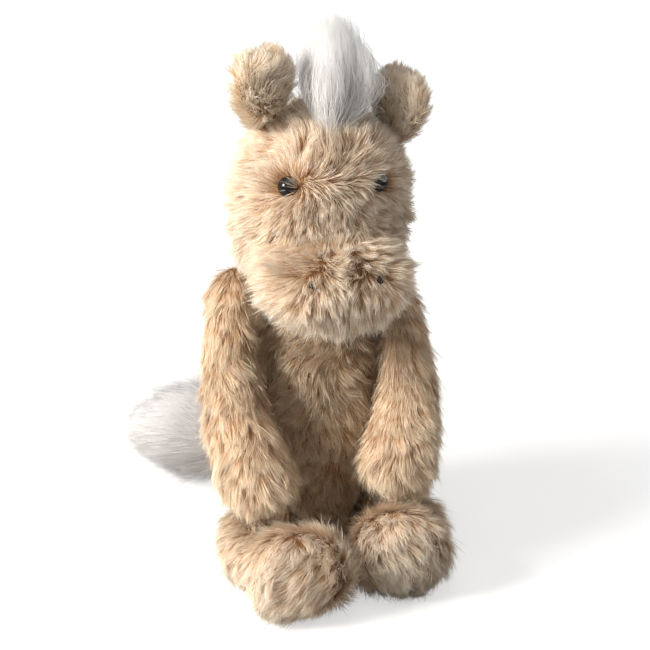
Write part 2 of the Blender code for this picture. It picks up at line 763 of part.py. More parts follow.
def arm_stations(side):
    """Rings from the armhole to the paw: shares of the arm's out, forward and drop."""
    centre, outward = shoulder_frame(side)
    out = RIGHT_ARM_OUT if side == RIGHT else LEFT_ARM_OUT
    tuck = RIGHT_PAW_TUCK if side == RIGHT else LEFT_PAW_TUCK
    drop = RIGHT_ARM_DROP if side == RIGHT else LEFT_ARM_DROP
    rise = SHOULDER_RISE if side == RIGHT else 0
    path = [centre - outward * ARM_ROOT_RADIUS * ARM_INSIDE_SHARE,
            centre + outward * ARM_ROOT_RADIUS * ARM_OUTSIDE_SHARE]
    path_shares = [
        (0.66, 0.02, 0.03, 1.0), (0.94, 0.16, 0.16, 0.7), (1.02, 0.36, 0.38, 0.3), (0.98, 0.56, 0.60, 0),
        (0.82, 0.76, 0.79, 0), (0.66, 0.90, 0.93, 0), (0.60, 0.97, 1.04, 0), (0.58, 0.99, 1.09, 0),
    ]
    for out_share, ahead, down, lift in path_shares:
        sideways = out * out_share - tuck * down * down
        path.append(centre + Vector((side * sideways, -ARM_FORWARD * ahead, rise * lift - drop * down)))
    swell_shares = (0, 0, 0.10, 0.20, 0.40, 0.62, 0.85, 1.0, 0.75, -0.45)
    radii = [ARM_ROOT_RADIUS + (PAW_RADIUS - ARM_ROOT_RADIUS) * share for share in swell_shares]
    return tube_stations(path, radii, (0, 0, 1)), centre, outward


def build_arm(side, pivot, torso):
    name = SIDE_NAMES[side]
    stations, centre, outward = arm_stations(side)
    cover = new_part(name + "_arm_cover", loft(name + "_arm_cover", stations, COVER_SIDES, True),
                     "tan_pile", TAN_PILE, pivot)
    smooth(cover)
    cavity = new_cutter(name + "_arm_cavity",
                        loft(name + "_arm_cavity", inset_stations(stations, FABRIC, True), INNER_SIDES, False))
    fill = inset_stations(stations, FABRIC + SEAM_GAP, True)
    stuffing = new_part(name + "_arm_stuffing", loft(name + "_arm_stuffing", fill, INNER_SIDES, False),
                        "fibre", FIBRE, pivot)
    pellets = new_part(name + "_paw_pellets", loft(name + "_paw_pellets", fill, INNER_SIDES, False),
                       "pellets", PELLETS, pivot)
    seam = new_cutter(name + "_arm_seam", rod_mesh(name + "_arm_seam", centre - outward * OVERRUN,
                                                   centre + outward * SEAM_GAP, ARM_ROOT_RADIUS * 2))
    waist = stations[PAW_RING]
    along = (stations[PAW_RING + 1].centre - waist.centre).normalized()
    above = new_cutter(name + "_above_pellets", rod_mesh(name + "_above_pellets",
                       waist.centre - along * OVERRUN * 2, waist.centre, OVERRUN))
    below = new_cutter(name + "_below_stuffing", rod_mesh(name + "_below_stuffing",
                       waist.centre - along * SEAM_GAP, waist.centre + along * OVERRUN, OVERRUN / 2))
    armhole = new_cutter(name + "_armhole", rod_mesh(name + "_armhole", centre, centre + outward * OVERRUN,
                                                     ARM_ROOT_RADIUS + SLIDE_GAP * 2))
    cut(cover, cavity, seam)
    cut(stuffing, seam, below)
    cut(pellets, above)
    for piece in torso:
        cut(piece, armhole)


# Legs

def leg_stations(side):
    """Rings from the hip, outwards and then forwards to the ankle."""
    reach = RIGHT_LEG_REACH if side == RIGHT else LEFT_LEG_REACH
    hip = Vector((side * HIP_SPREAD, -HIP_FORWARD, HIP_HEIGHT))
    path_shares = [
        (-0.25, 0.0), (0.25, 0.0), (0.62, 0.10), (0.88, 0.30), (0.99, 0.58), (0.96, 0.86), (0.78, 1.08),
        (0.60, 1.18),
    ]
    path = [hip + Vector((side * LEG_OUT * out, -reach * ahead, 0)) for out, ahead in path_shares]
    radius_shares = (1.0, 1.0, 1.0, 0.97, 0.95, 0.95, 0.85, 0.60)
    radii = [LEG_RADIUS * share for share in radius_shares]
    return tube_stations(path, radii, (0, 0, 1)), hip, reach


def foot_stations(side, reach):
    """An upright oval foot, its toes pointing forwards."""
    shares = [(-1.0, 0.30), (-0.86, 0.60), (-0.40, 0.92), (0.15, 1.00), (0.65, 0.82), (0.93, 0.48), (1.0, 0.22)]
    middle = Vector((side * FOOT_INSET, -HIP_FORWARD - reach - FOOT_LEAD, FOOT_HALF_HEIGHT - FOOT_SINK))
    rings = []
    for ahead, size in shares:
        centre = middle - Vector((0, FOOT_HALF_LENGTH * ahead, 0))
        rings.append(Station(centre, (FOOT_HALF_WIDTH * size, 0, 0), (0, 0, FOOT_HALF_HEIGHT * size)))
    return rings


def build_leg(side, pivot):
    name = SIDE_NAMES[side]
    stations, hip, reach = leg_stations(side)
    foot = foot_stations(side, reach)
    cover = new_part(name + "_leg_cover", loft(name + "_leg_cover", stations, COVER_SIDES, True),
                     "tan_pile", TAN_PILE, pivot)
    smooth(cover)
    foot_outer = new_cutter(name + "_foot_form", loft(name + "_foot_form", foot, COVER_SIDES, True))
    smooth(foot_outer)
    cavity = new_cutter(name + "_leg_cavity",
                        loft(name + "_leg_cavity", inset_stations(stations, FABRIC, True), INNER_SIDES, False))
    foot_cavity = new_cutter(name + "_foot_cavity",
                             loft(name + "_foot_cavity", inset_stations(foot, FABRIC), INNER_SIDES, False))
    fill = FABRIC + SEAM_GAP
    stuffing = new_part(name + "_leg_stuffing",
                        loft(name + "_leg_stuffing", inset_stations(stations, fill, True), INNER_SIDES, False),
                        "fibre", FIBRE, pivot)
    new_part(name + "_foot_pellets", loft(name + "_foot_pellets", inset_stations(foot, fill), INNER_SIDES, False),
             "pellets", PELLETS, pivot)
    seam = new_cutter(name + "_leg_seam",
                      rod_mesh(name + "_leg_seam", (0, hip.y, hip.z),
                               (side * (HIP_SPREAD + SEAM_GAP), hip.y, hip.z), LEG_RADIUS * 2))
    floor = new_cutter(name + "_floor", block_mesh(name + "_floor", (-OVERRUN * 2, -OVERRUN * 2, -OVERRUN),
                                                   (OVERRUN * 2, OVERRUN * 2, 0)))
    combine(cover, "UNION", foot_outer)
    cut(cover, cavity, foot_cavity, seam, floor)
    cut(stuffing, foot_cavity, seam)


def cut_hips(torso):
    """Opens the torso where each thigh swings down from its seam."""
    radius = LEG_RADIUS + SLIDE_GAP * 2
    hip_y, hip_z = -HIP_FORWARD, HIP_HEIGHT
    steps = 8
    arc = []
    for step in range(steps + 1):
        angle = math.pi / 2 * step / steps
        arc.append((hip_y + radius * math.sin(angle), hip_z + radius * math.cos(angle)))
    outline = [(-OVERRUN, hip_z + radius)] + arc + [(hip_y + radius, -OVERRUN), (-OVERRUN, -OVERRUN)]
    for side in (RIGHT, LEFT):
        label = SIDE_NAMES[side] + "_leg_hole"
        hole = new_cutter(label, prism_mesh(label, outline, side * HIP_SPREAD, side * OVERRUN))
        for piece in torso:
            cut(piece, hole)


# Tail

def tail_frame(tree):
    """The tail's root on the back of the torso, and the way the tail is swept."""
    root = surface_frame(tree, (0, OVERRUN * 2, TAIL_HEIGHT), (0, -1, 0)).translation
    root.y += TAIL_ROOT_RADIUS * TAIL_ROOT_SHARE
    sweep = math.radians(TAIL_SWEEP)
    return root, Vector((-math.sin(sweep), math.cos(sweep), 0))


def build_tail(pivot, root, along, torso):
    side = Vector((along.y, -along.x, 0))
    path_shares = [
        (-0.04, 0.00, 0.00), (0.11, 0.00, 0.00), (0.21, 0.00, 0.01), (0.36, 0.00, 0.02), (0.58, 0.00, -0.02),
        (0.78, 0.02, -0.06), (0.94, 0.06, -0.08), (1.00, 0.08, -0.09),
    ]
    path = [root + along * TAIL_LENGTH * out + side * TAIL_LENGTH * bow + Vector((0, 0, TAIL_LENGTH * lift))
            for out, bow, lift in path_shares]
    radius_shares = (0.27, 0.26, 0.47, 0.90, 1.00, 0.86, 0.48, 0.18)
    radii = [TAIL_RADIUS * share for share in radius_shares]
    stations = tube_stations(path, radii, (0, 0, 1))
    pile = new_part("tail_pile", loft("tail_pile", stations, COVER_SIDES, True), "white_pile", WHITE_PILE, pivot)
    smooth(pile)
    core = stations[:TAIL_CORE_RINGS]
    hollow = new_cutter("tail_hollow",
                        loft("tail_hollow", inset_stations(core, TAIL_CORE_INSET - SEAM_GAP, True),
                             INNER_SIDES, False))
    backing = new_part("tail_core", loft("tail_core", inset_stations(core, TAIL_CORE_INSET, True),
                                         INNER_SIDES, False), "woven_backing", WOVEN_BACKING, pivot)
    inside = new_cutter("tail_root_cut", ball_mesh("tail_root_cut", root - along * TAIL_ROOT_RADIUS,
                                                   TAIL_ROOT_RADIUS))
    cut(pile, hollow)
    cut(backing, inside)
    socket = new_cutter("tail_socket", ball_mesh("tail_socket", root, TAIL_ROOT_RADIUS + SLIDE_GAP))
    for piece in torso:
        cut(piece, socket)


def centre_on_floor():
    """Moves the horse so that its box stands centred on the origin."""
    graph = bpy.context.evaluated_depsgraph_get()
    corners = []
    for part in PARTS.objects:
        if part.type == "MESH":
            seen = part.evaluated_get(graph)
            corners += [seen.matrix_world @ Vector(corner) for corner in seen.bound_box]
    low = [min(corner[axis] for corner in corners) for axis in range(3)]
    high = [max(corner[axis] for corner in corners) for axis in range(3)]
    ORIGIN.location = (-(low[0] + high[0]) / 2, -(low[1] + high[1]) / 2, -low[2])


def build_horse():
    cover, stuffing, bag = build_torso()
    bpy.context.view_layer.update()
    tail_root, tail_along = tail_frame(surface_tree(cover))
    neck_place = (0, NECK_BACK_SET, NECK_HEIGHT)
    turn_pivot = new_pivot("neck_turn_pivot", neck_place, (0, 0, 1))
    nod_pivot = new_pivot("head_nod_pivot", neck_place, (1, 0, 0), turn_pivot)
    socket = build_neck(turn_pivot)
    cut(cover, socket)
    cut(stuffing, socket)
    for side in (RIGHT, LEFT):
        centre, outward = shoulder_frame(side)
        pivot = new_pivot(SIDE_NAMES[side] + "_shoulder_pivot", centre, outward * side)
        build_arm(side, pivot, (cover, stuffing))
    for side in (RIGHT, LEFT):
        hip = (side * HIP_SPREAD, -HIP_FORWARD, HIP_HEIGHT)
        pivot = new_pivot(SIDE_NAMES[side] + "_hip_pivot", hip, (1, 0, 0))
        build_leg(side, pivot)
    cut_hips((cover, stuffing, bag))
    tail_pivot = new_pivot("tail_pivot", tail_root, (0, 0, 1))
    build_tail(tail_pivot, tail_root, tail_along, (cover, stuffing, bag))
    form = head_form("head_surface", 0)
    bpy.context.view_layer.update()
    tree = surface_tree(form)
    head, nose, head_fill = build_head(nod_pivot, socket)
    nose_form = smooth(new_cutter("muzzle_surface", loft("muzzle_surface", muzzle_stations(),
                                                         WIDE_COVER_SIDES, True)))
    bpy.context.view_layer.update()
    nose_tree = surface_tree(nose_form)
    for side in (RIGHT, LEFT):
        build_eye(side, nod_pivot, tree, head, head_fill)
        build_nostril(side, nod_pivot, nose_tree, nose)
        frame = ear_frame(side, tree)
        pivot = new_pivot(SIDE_NAMES[side] + "_ear_pivot", frame[0], frame[4] * (1 if frame[4].x > 0 else -1),
                          nod_pivot)
        build_ear(side, pivot, frame, (head, head_fill))
    forelock_back = build_forelock(nod_pivot)
    build_mane(nod_pivot, forelock_back)
    bpy.data.objects.remove(form, do_unlink=True)
    bpy.data.objects.remove(nose_form, do_unlink=True)
    bpy.context.view_layer.update()
    centre_on_floor()


build_horse()
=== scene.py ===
"""Plush horse in long tan pile with a white forelock, mane and tail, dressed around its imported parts.

Each cover becomes a padded skin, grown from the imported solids, and its pile is grown on the skin as
tufts of thin tapering strands. Lengths are in metres. The horse faces -Y, its right side on -X.
"""

import json
import math

import bmesh
import bpy
import numpy as np
from bpy.props import FloatProperty, FloatVectorProperty, IntProperty, PointerProperty
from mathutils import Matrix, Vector
from mathutils.kdtree import KDTree


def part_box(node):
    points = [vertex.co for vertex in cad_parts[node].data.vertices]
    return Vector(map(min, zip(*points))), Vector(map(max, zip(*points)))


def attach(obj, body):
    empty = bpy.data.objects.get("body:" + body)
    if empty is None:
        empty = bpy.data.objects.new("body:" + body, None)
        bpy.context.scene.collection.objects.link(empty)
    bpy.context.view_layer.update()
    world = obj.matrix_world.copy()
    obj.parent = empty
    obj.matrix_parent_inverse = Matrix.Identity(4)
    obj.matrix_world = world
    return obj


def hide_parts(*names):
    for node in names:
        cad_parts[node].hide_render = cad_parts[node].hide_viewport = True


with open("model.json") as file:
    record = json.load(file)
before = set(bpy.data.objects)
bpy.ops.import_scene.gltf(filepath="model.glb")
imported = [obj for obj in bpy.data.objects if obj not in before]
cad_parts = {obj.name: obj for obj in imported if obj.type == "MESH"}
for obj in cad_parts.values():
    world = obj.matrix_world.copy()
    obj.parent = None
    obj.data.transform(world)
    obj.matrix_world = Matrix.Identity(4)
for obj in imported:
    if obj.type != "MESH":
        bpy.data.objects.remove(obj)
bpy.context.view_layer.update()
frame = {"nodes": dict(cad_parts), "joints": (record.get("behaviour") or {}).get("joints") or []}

bl_info = {
    "name": "Plush horse",
    "version": (1, 0, 0),
    "blender": (4, 5, 0),
    "location": "View3D > Sidebar > Plush horse",
    "description": "Grows the padded skins and the pile of a seated plush horse",
    "category": "Add Mesh",
}

NODES = frame["nodes"]
PIVOTS = {joint["name"]: Vector(joint["pos_m"]) for joint in frame["joints"]}
MIDDLE_X = PIVOTS["head_turn"].x
SIDES = {"right": -1, "left": 1}


# Settings that a user would change

def number(name, description, default, **limits):
    return FloatProperty(name=name, description=description, default=default, **limits)


def length(name, description, default):
    return number(name, description, default, min=0, unit="LENGTH", precision=5)


def colour(name, description, default):
    return FloatVectorProperty(name=name, description=description, default=default, size=3, min=0, max=1,
                               subtype="COLOR")


class PlushHorseSizes(bpy.types.PropertyGroup):
    """Sizes of the skins and of the pile"""
    skin_inset: length("Skin inset", "How far each skin starts under the packed cover", 0.0014)
    skin_swell: length("Skin swell", "The most that a skin may swell as it fills", 0.0014)
    skin_voxel: length("Skin grid", "Cell size of the padded skins", 0.0040)
    strand_width: length("Strand width", "Width of a strand at its root", 0.00021)
    head_pile: length("Head pile", "Length of the pile on the head", 0.0088)
    muzzle_pile: length("Muzzle pile", "Length of the pile on the muzzle", 0.0092)
    body_pile: length("Body pile", "Length of the pile on the body", 0.0088)
    limb_pile: length("Limb pile", "Length of the pile on the arms and legs", 0.0100)
    ear_pile: length("Ear pile", "Length of the pile on the ears", 0.0054)
    tail_pile: length("Tail pile", "Length of the pile on the tail", 0.0240)
    eye_radius: length("Eye radius", "Radius of the bead eyes", 0.0043)
    density: number("Density", "Strands on a square millimetre of skin", 4.4, min=0.1, max=8)
    seed: IntProperty(name="Seed", description="Start of the random draws", default=7, min=0)


class PlushHorseColours(bpy.types.PropertyGroup):
    """Colours of the pile and of the trims, linear"""
    # Each pile's root and middle colours are darker than its tip: painted shade deep among the strands.
    tan_root: colour("Tan root", "Pile of the head and feet at its root", (0.42, 0.22, 0.10))
    tan_middle: colour("Tan middle", "Pile of the head and feet half way up", (0.80, 0.61, 0.42))
    tan_tip: colour("Tan tip", "Pile of the head and feet at its tip", (0.98, 0.92, 0.82))
    gold_root: colour("Gold root", "Pile of the body and arms at its root", (0.35, 0.155, 0.055))
    gold_middle: colour("Gold middle", "Pile of the body and arms half way up", (0.69, 0.455, 0.258))
    gold_tip: colour("Gold tip", "Pile of the body and arms at its tip", (0.97, 0.87, 0.71))
    # The pale pile is a lighter copy of the tan pile: painted light on the ears, whose fronts turn away from
    # the lamps.
    pale_root: colour("Pale root", "Pile of the ears at its root", (0.70, 0.47, 0.28))
    pale_middle: colour("Pale middle", "Pile of the ears half way up", (0.95, 0.81, 0.63))
    pale_tip: colour("Pale tip", "Pile of the ears at its tip", (0.99, 0.95, 0.87))
    white_root: colour("White root", "White pile at its root", (0.96, 0.96, 0.965))
    white_tip: colour("White tip", "White pile at its tip", (0.98, 0.98, 0.985))
    tail_root: colour("Tail root", "Tail pile at its root", (0.74, 0.66, 0.55))
    tail_tip: colour("Tail tip", "Tail pile at its tip", (0.81, 0.81, 0.83))
    bead: colour("Bead", "Glossy bead eyes", (0.006, 0.006, 0.007))
    thread: colour("Thread", "Nostril stitches", (0.012, 0.009, 0.007))
    ground: colour("Ground", "Floor under the horse", (0.55, 0.55, 0.55))


class PlushHorseStage(bpy.types.PropertyGroup):
    """Camera and lamps"""
    azimuth: number("Azimuth", "Camera's turn around the horse, in degrees", -13.0)
    elevation: number("Elevation", "Camera's rise above level, in degrees", 20.0)
    distance: length("Distance", "From the camera to its aim", 0.620)
    span: length("Span", "Width of the picture at the aim", 0.268)
    aim_forward: number("Aim forward", "Aim ahead of the neck", -0.019, unit="LENGTH")
    aim_height: length("Aim height", "Height of the aim", 0.105)
    key_power: number("Key lamp", "Power of the large lamp, in watts", 17.0, min=0)
    sky: number("Sky", "Strength of the soft light all round", 0.11, min=0)


class PlushHorseSettings(bpy.types.PropertyGroup):
    """All settings of the plush horse"""
    sizes: PointerProperty(type=PlushHorseSizes)
    colours: PointerProperty(type=PlushHorseColours)
    stage: PointerProperty(type=PlushHorseStage)


def settings():
    return bpy.context.scene.plush_horse


# Meshes and modifiers

def middle_of(node):
    low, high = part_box(node)
    return (low + high) / 2


def deselect():
    if bpy.context.object and bpy.context.object.mode != "OBJECT":
        bpy.ops.object.mode_set(mode="OBJECT")
    bpy.ops.object.select_all(action="DESELECT")


def activate(piece):
    deselect()
    piece.select_set(True)
    bpy.context.view_layer.objects.active = piece


def linked(name, mesh):
    piece = bpy.data.objects.new(name, mesh)
    bpy.context.scene.collection.objects.link(piece)
    return piece


def apply_modifier(piece, kind, **values):
    activate(piece)
    modifier = piece.modifiers.new(kind.lower(), kind)
    for key, value in values.items():
        setattr(modifier, key, value)
    bpy.ops.object.modifier_apply(modifier=modifier.name)


def place_in_mesh(piece):
    """Moves an object's place into its mesh, so that the object sits at the origin."""
    activate(piece)
    bpy.ops.object.transform_apply(location=True, rotation=True, scale=True)


def finish(piece, material, body, slot, *nodes):
    """Gives a piece its material, and says what it rides on and stands for. The slot is not used."""
    piece.data.materials.append(MATERIALS[material])
    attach(piece, body)
    if nodes:
        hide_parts(*nodes)


def coordinates(mesh):
    found = np.empty(len(mesh.vertices) * 3)
    mesh.vertices.foreach_get("co", found)
    return found.reshape(-1, 3)


def unit(vectors):
    return vectors / np.maximum(np.linalg.norm(vectors, axis=-1, keepdims=True), 1e-9)


def waves(points, size, seed):
    """Smooth noise from -1 to 1: a few crossed waves about one size long."""
    source = np.random.default_rng(seed)
    total = np.zeros(len(points))
    count = 7
    for _ in range(count):
        way = unit(source.normal(size=(1, 3)))[0] * (math.tau / size) * source.uniform(0.6, 1.5)
        total += np.sin(points @ way + source.uniform(0, math.tau))
    return total / math.sqrt(count)


def smooth_step(values, low, high):
    share = np.clip((values - low) / (high - low), 0, 1)
    return share * share * (3 - 2 * share)


# Skins

FINE_SWELL = 0.0006


def largest_shell(mesh):
    """Keeps only the biggest connected shell of a mesh."""
    form = bmesh.new()
    form.from_mesh(mesh)
    form.verts.ensure_lookup_table()
    seen, shells = set(), []
    for start in form.verts:
        if start in seen:
            continue
        shell, queue = [], [start]
        seen.add(start)
        while queue:
            vertex = queue.pop()
            shell.append(vertex)
            for edge in vertex.link_edges:
                other = edge.other_vert(vertex)
                if other not in seen:
                    seen.add(other)
                    queue.append(other)
        shells.append(shell)
    shells.sort(key=len)
    for shell in shells[:-1]:
        bmesh.ops.delete(form, geom=shell, context="VERTS")
    bmesh.ops.recalc_face_normals(form, faces=form.faces)
    form.to_mesh(mesh)
    form.free()


def filled_hull(form):
    """A closed shell around all of a form's points."""
    shell = bmesh.new()
    for vertex in form.verts:
        shell.verts.new(vertex.co)
    hull = bmesh.ops.convex_hull(shell, input=shell.verts)
    spare = {item for item in hull["geom_interior"] + hull["geom_unused"]
             if isinstance(item, bmesh.types.BMVert)}
    bmesh.ops.delete(shell, geom=list(spare), context="VERTS")
    return shell


def swell(skin, most):
    """Fills a skin under gentle pressure; no point moves further than most."""
    activate(skin)
    start = coordinates(skin.data)
    cloth = skin.modifiers.new("filling", "CLOTH")
    cloth.settings.use_pressure = True
    cloth.settings.uniform_pressure_force = 4
    cloth.settings.effector_weights.gravity = 0
    cloth.collision_settings.use_collision = False
    for step in range(1, 21):
        bpy.context.scene.frame_set(step)
    bpy.ops.object.modifier_apply(modifier=cloth.name)
    bpy.context.scene.frame_set(1)
    moved = coordinates(skin.data) - start
    far = np.linalg.norm(moved, axis=1, keepdims=True)
    moved *= np.minimum(1, most / np.maximum(far, 1e-9))
    skin.data.vertices.foreach_set("co", (start + moved).round(5).ravel())
    skin.data.update()


def grow_skin(name, nodes, body, voxel=None, inset=None, most=FINE_SWELL, rounds=5, level=1, hull=False,
              shaped=None, white=False):
    """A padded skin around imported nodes, drawn in under the pile; shaped moves its points last.

    Without a voxel size of its own, a skin takes the sizes that the large skins share.
    """
    sizes = settings().sizes
    if voxel is None:
        voxel, inset, most = sizes.skin_voxel, sizes.skin_inset, sizes.skin_swell
    form = bmesh.new()
    for node in nodes:
        form.from_mesh(NODES[node].data)
    bmesh.ops.remove_doubles(form, verts=form.verts, dist=0.00001)
    if hull:
        form = filled_hull(form)
    mesh = bpy.data.meshes.new(name)
    form.to_mesh(mesh)
    form.free()
    skin = linked(name, mesh)
    apply_modifier(skin, "REMESH", mode="VOXEL", voxel_size=voxel)
    largest_shell(skin.data)
    apply_modifier(skin, "SMOOTH", factor=0.5, iterations=rounds)
    apply_modifier(skin, "DISPLACE", mid_level=0, strength=-inset)
    swell(skin, most)
    if level:
        apply_modifier(skin, "SUBSURF", levels=level, render_levels=level)
    if shaped:
        skin.data.vertices.foreach_set("co", shaped(coordinates(skin.data)).ravel())
        skin.data.update()
    skin.data.shade_smooth()
    finish(skin, "white_skin" if white else "skin", body, "white_pile" if white else "tan_pile", *nodes)
    return skin


# Pile

def sample(skin, density, source):
    """Random places on a skin with their normals; density is per square millimetre."""
    mesh = skin.data
    mesh.calc_loop_triangles()
    corners = np.empty(len(mesh.loop_triangles) * 3, int)
    mesh.loop_triangles.foreach_get("vertices", corners)
    corners = corners.reshape(-1, 3)
    places = coordinates(mesh)
    normals = np.empty(len(mesh.vertices) * 3)
    mesh.vertices.foreach_get("normal", normals)
    normals = normals.reshape(-1, 3)
    a, b, c = (places[corners[:, k]] for k in range(3))
    areas = np.linalg.norm(np.cross(b - a, c - a), axis=1) / 2
    count = int(areas.sum() * 1e6 * density)
    faces = source.choice(len(areas), count, p=areas / areas.sum())
    u, v = source.random(count), source.random(count)
    flip = u + v > 1
    u[flip], v[flip] = 1 - u[flip], 1 - v[flip]
    weights = np.stack((1 - u - v, u, v), axis=1)[:, :, None]
    found = (places[corners[faces]] * weights).sum(axis=1)
    facing = unit((normals[corners[faces]] * weights).sum(axis=1))
    return found, facing


def combed(frame_box, guides):
    """A groom blended from guides near each place.

    A guide holds a place and a direction in shares of the box, as (right, ahead, up) from its middle,
    then the lift off the skin in radians and the share of the pile's length.
    """
    low, high = frame_box
    middle, half = (low + high) / 2, (high - low) / 2
    axes = np.array((half.x, -half.y, half.z))
    places = np.array([guide[0] for guide in guides]) * axes + np.array(middle)
    ways = unit(np.array([guide[1] for guide in guides]) * (1, -1, 1))
    values = np.array([guide[2:] for guide in guides])

    def groom(points, normals):
        gaps = np.linalg.norm(points[:, None] - places[None], axis=2)
        weights = 1 / (gaps + 0.0035) ** 3.5
        weights /= weights.sum(axis=1, keepdims=True)
        return weights @ ways, weights @ values[:, 0], weights @ values[:, 1]
    return groom


def along_surface(ways, normals):
    return unit(ways - normals * (ways * normals).sum(axis=1, keepdims=True))


def turned(ways, normals, angles):
    """Turns directions about the normals."""
    side = np.cross(normals, ways)
    return ways * np.cos(angles)[:, None] + side * np.sin(angles)[:, None]


def nearest(centres, points):
    tree = KDTree(len(centres))
    for index, centre in enumerate(centres):
        tree.insert(centre, index)
    tree.balance()
    return np.array([tree.find(point)[1] for point in points])


# How much places, turns and lifts in radians, and lengths vary from lock to lock, tuft to tuft and
# strand to strand, and how a loose strand differs.
LOCK_BLUR, TUFT_BLUR = 0.12, 0.16
LOCK_LIFT, TUFT_LIFT, STRAND_LIFT, LOOSE_LIFT = 0.18, 0.12, 0.09, 0.35
TUFT_TURN, STRAND_TURN, LOOSE_BEND = 0.17, 0.10, 2.2
TUFT_LENGTH, STRAND_LENGTH, LOOSE_LENGTH = 0.13, 0.09, 1.15
ROOT_DEPTH = 0.0004


class Pile:
    """How one piece's pile is grown; lengths in metres, angles in radians."""
    density = 1.0
    spacing = 0.0024
    lock = 0.0075
    swirl = 0.30
    swirl_size = 0.020
    curl = 0.28
    clump = 0.42
    loose = 0.06
    lay = 0.55
    lock_turn = 0.28
    width = 1.0
    steps = 3
    rough = 1.0
    roll = 0.3
    floor = 0.0003
    # Painted shade: how much darker the pile is made where the skin faces the front
    front_painted_shade = 0.0

    def __init__(self, length, groom, **changes):
        self.length = length
        self.groom = groom
        for key, value in changes.items():
            setattr(self, key, value)


def grow_pile(name, skin, body, material, pile, keep=None, bare=()):
    """Grows tufted strands on a skin, but not inside the bare spheres, each (centre, radius)."""
    sizes = settings().sizes
    source = np.random.default_rng(sizes.seed + sum(map(ord, name)))
    density = sizes.density * pile.density
    places, normals = sample(skin, density, source)
    kept = np.ones(len(places), bool) if keep is None else keep(places, normals)
    for centre, radius in bare:
        kept &= np.linalg.norm(places - np.array(centre), axis=1) > radius
    places, normals = places[kept], normals[kept]
    count = len(places)
    ways, lifts, longs = pile.groom(places, normals)
    ways = along_surface(ways, normals)
    ways = turned(ways, normals, pile.swirl * waves(places, pile.swirl_size, 3))

    locks = max(1, int(count / density / (pile.lock * 1000) ** 2))
    of_lock = nearest(places[source.choice(count, locks, replace=False)],
                      places + source.normal(size=places.shape) * pile.lock * LOCK_BLUR)
    ways = turned(ways, normals, source.normal(size=locks)[of_lock] * pile.lock_turn * pile.rough)
    lifts = lifts + source.normal(size=locks)[of_lock] * LOCK_LIFT * pile.rough

    tufts = max(1, int(count / density / (pile.spacing * 1000) ** 2))
    leaders = source.choice(count, tufts, replace=False)
    of_tuft = nearest(places[leaders], places + source.normal(size=places.shape) * pile.spacing * TUFT_BLUR)

    def varied(by_tuft, by_strand):
        return source.normal(size=tufts)[of_tuft] * by_tuft + source.normal(size=count) * by_strand

    ways = turned(ways, normals, varied(TUFT_TURN * pile.rough, STRAND_TURN))
    lifts = lifts + varied(TUFT_LIFT * pile.rough, STRAND_LIFT)
    bends = varied(pile.curl, STRAND_TURN)
    longs = longs * pile.length * np.clip(1 + varied(TUFT_LENGTH, STRAND_LENGTH), 0.5, 1.5)
    loose = source.random(count) < pile.loose
    longs[loose] *= LOOSE_LENGTH
    lifts[loose] += source.uniform(0, LOOSE_LIFT, loose.sum())
    bends[loose] *= LOOSE_BEND

    path = [places - normals * ROOT_DEPTH]
    for step in range(pile.steps):
        portion = (step + 0.5) / pile.steps
        angle = np.clip(lifts * (1 - pile.lay * portion), -0.15, 1.45)[:, None]
        way = turned(ways, normals, bends * portion) * np.cos(angle) + normals * np.sin(angle)
        path.append(path[-1] + way * longs[:, None] / pile.steps)
    path = np.stack(path, axis=1)
    shares = np.linspace(0, 1, pile.steps + 1)
    pull = pile.clump * source.uniform(0.35, 1.25, count)
    pull[loose] = 0
    pull[leaders] = 0
    lead = path[leaders][of_tuft]
    path += (lead - path) * (np.clip(pull, 0, 0.95)[:, None] * shares[None] ** 1.1)[:, :, None]
    path[:, :, 2] = np.maximum(path[:, :, 2], pile.floor)
    # Shade holds a random tone per tuft and strand, smooth patches, and the painted shade towards the front.
    shade = 0.5 + (source.random(tufts)[of_tuft] - 0.5) * 0.5 + (source.random(count) - 0.5) * 0.3
    shade = np.clip(shade + waves(places, 0.03, 5) * 0.12
                    - pile.front_painted_shade * smooth_step(-normals[:, 1], 0.1, 0.8), 0, 1)
    roll = pile.roll + np.clip(lifts - 0.4, 0, 1)
    mesh = strand_mesh(name, path, normals, shade, pile.width * sizes.strand_width, source, roll)
    finish(linked(name, mesh), material, body, "white_pile" if material in ("white", "tail") else "tan_pile")


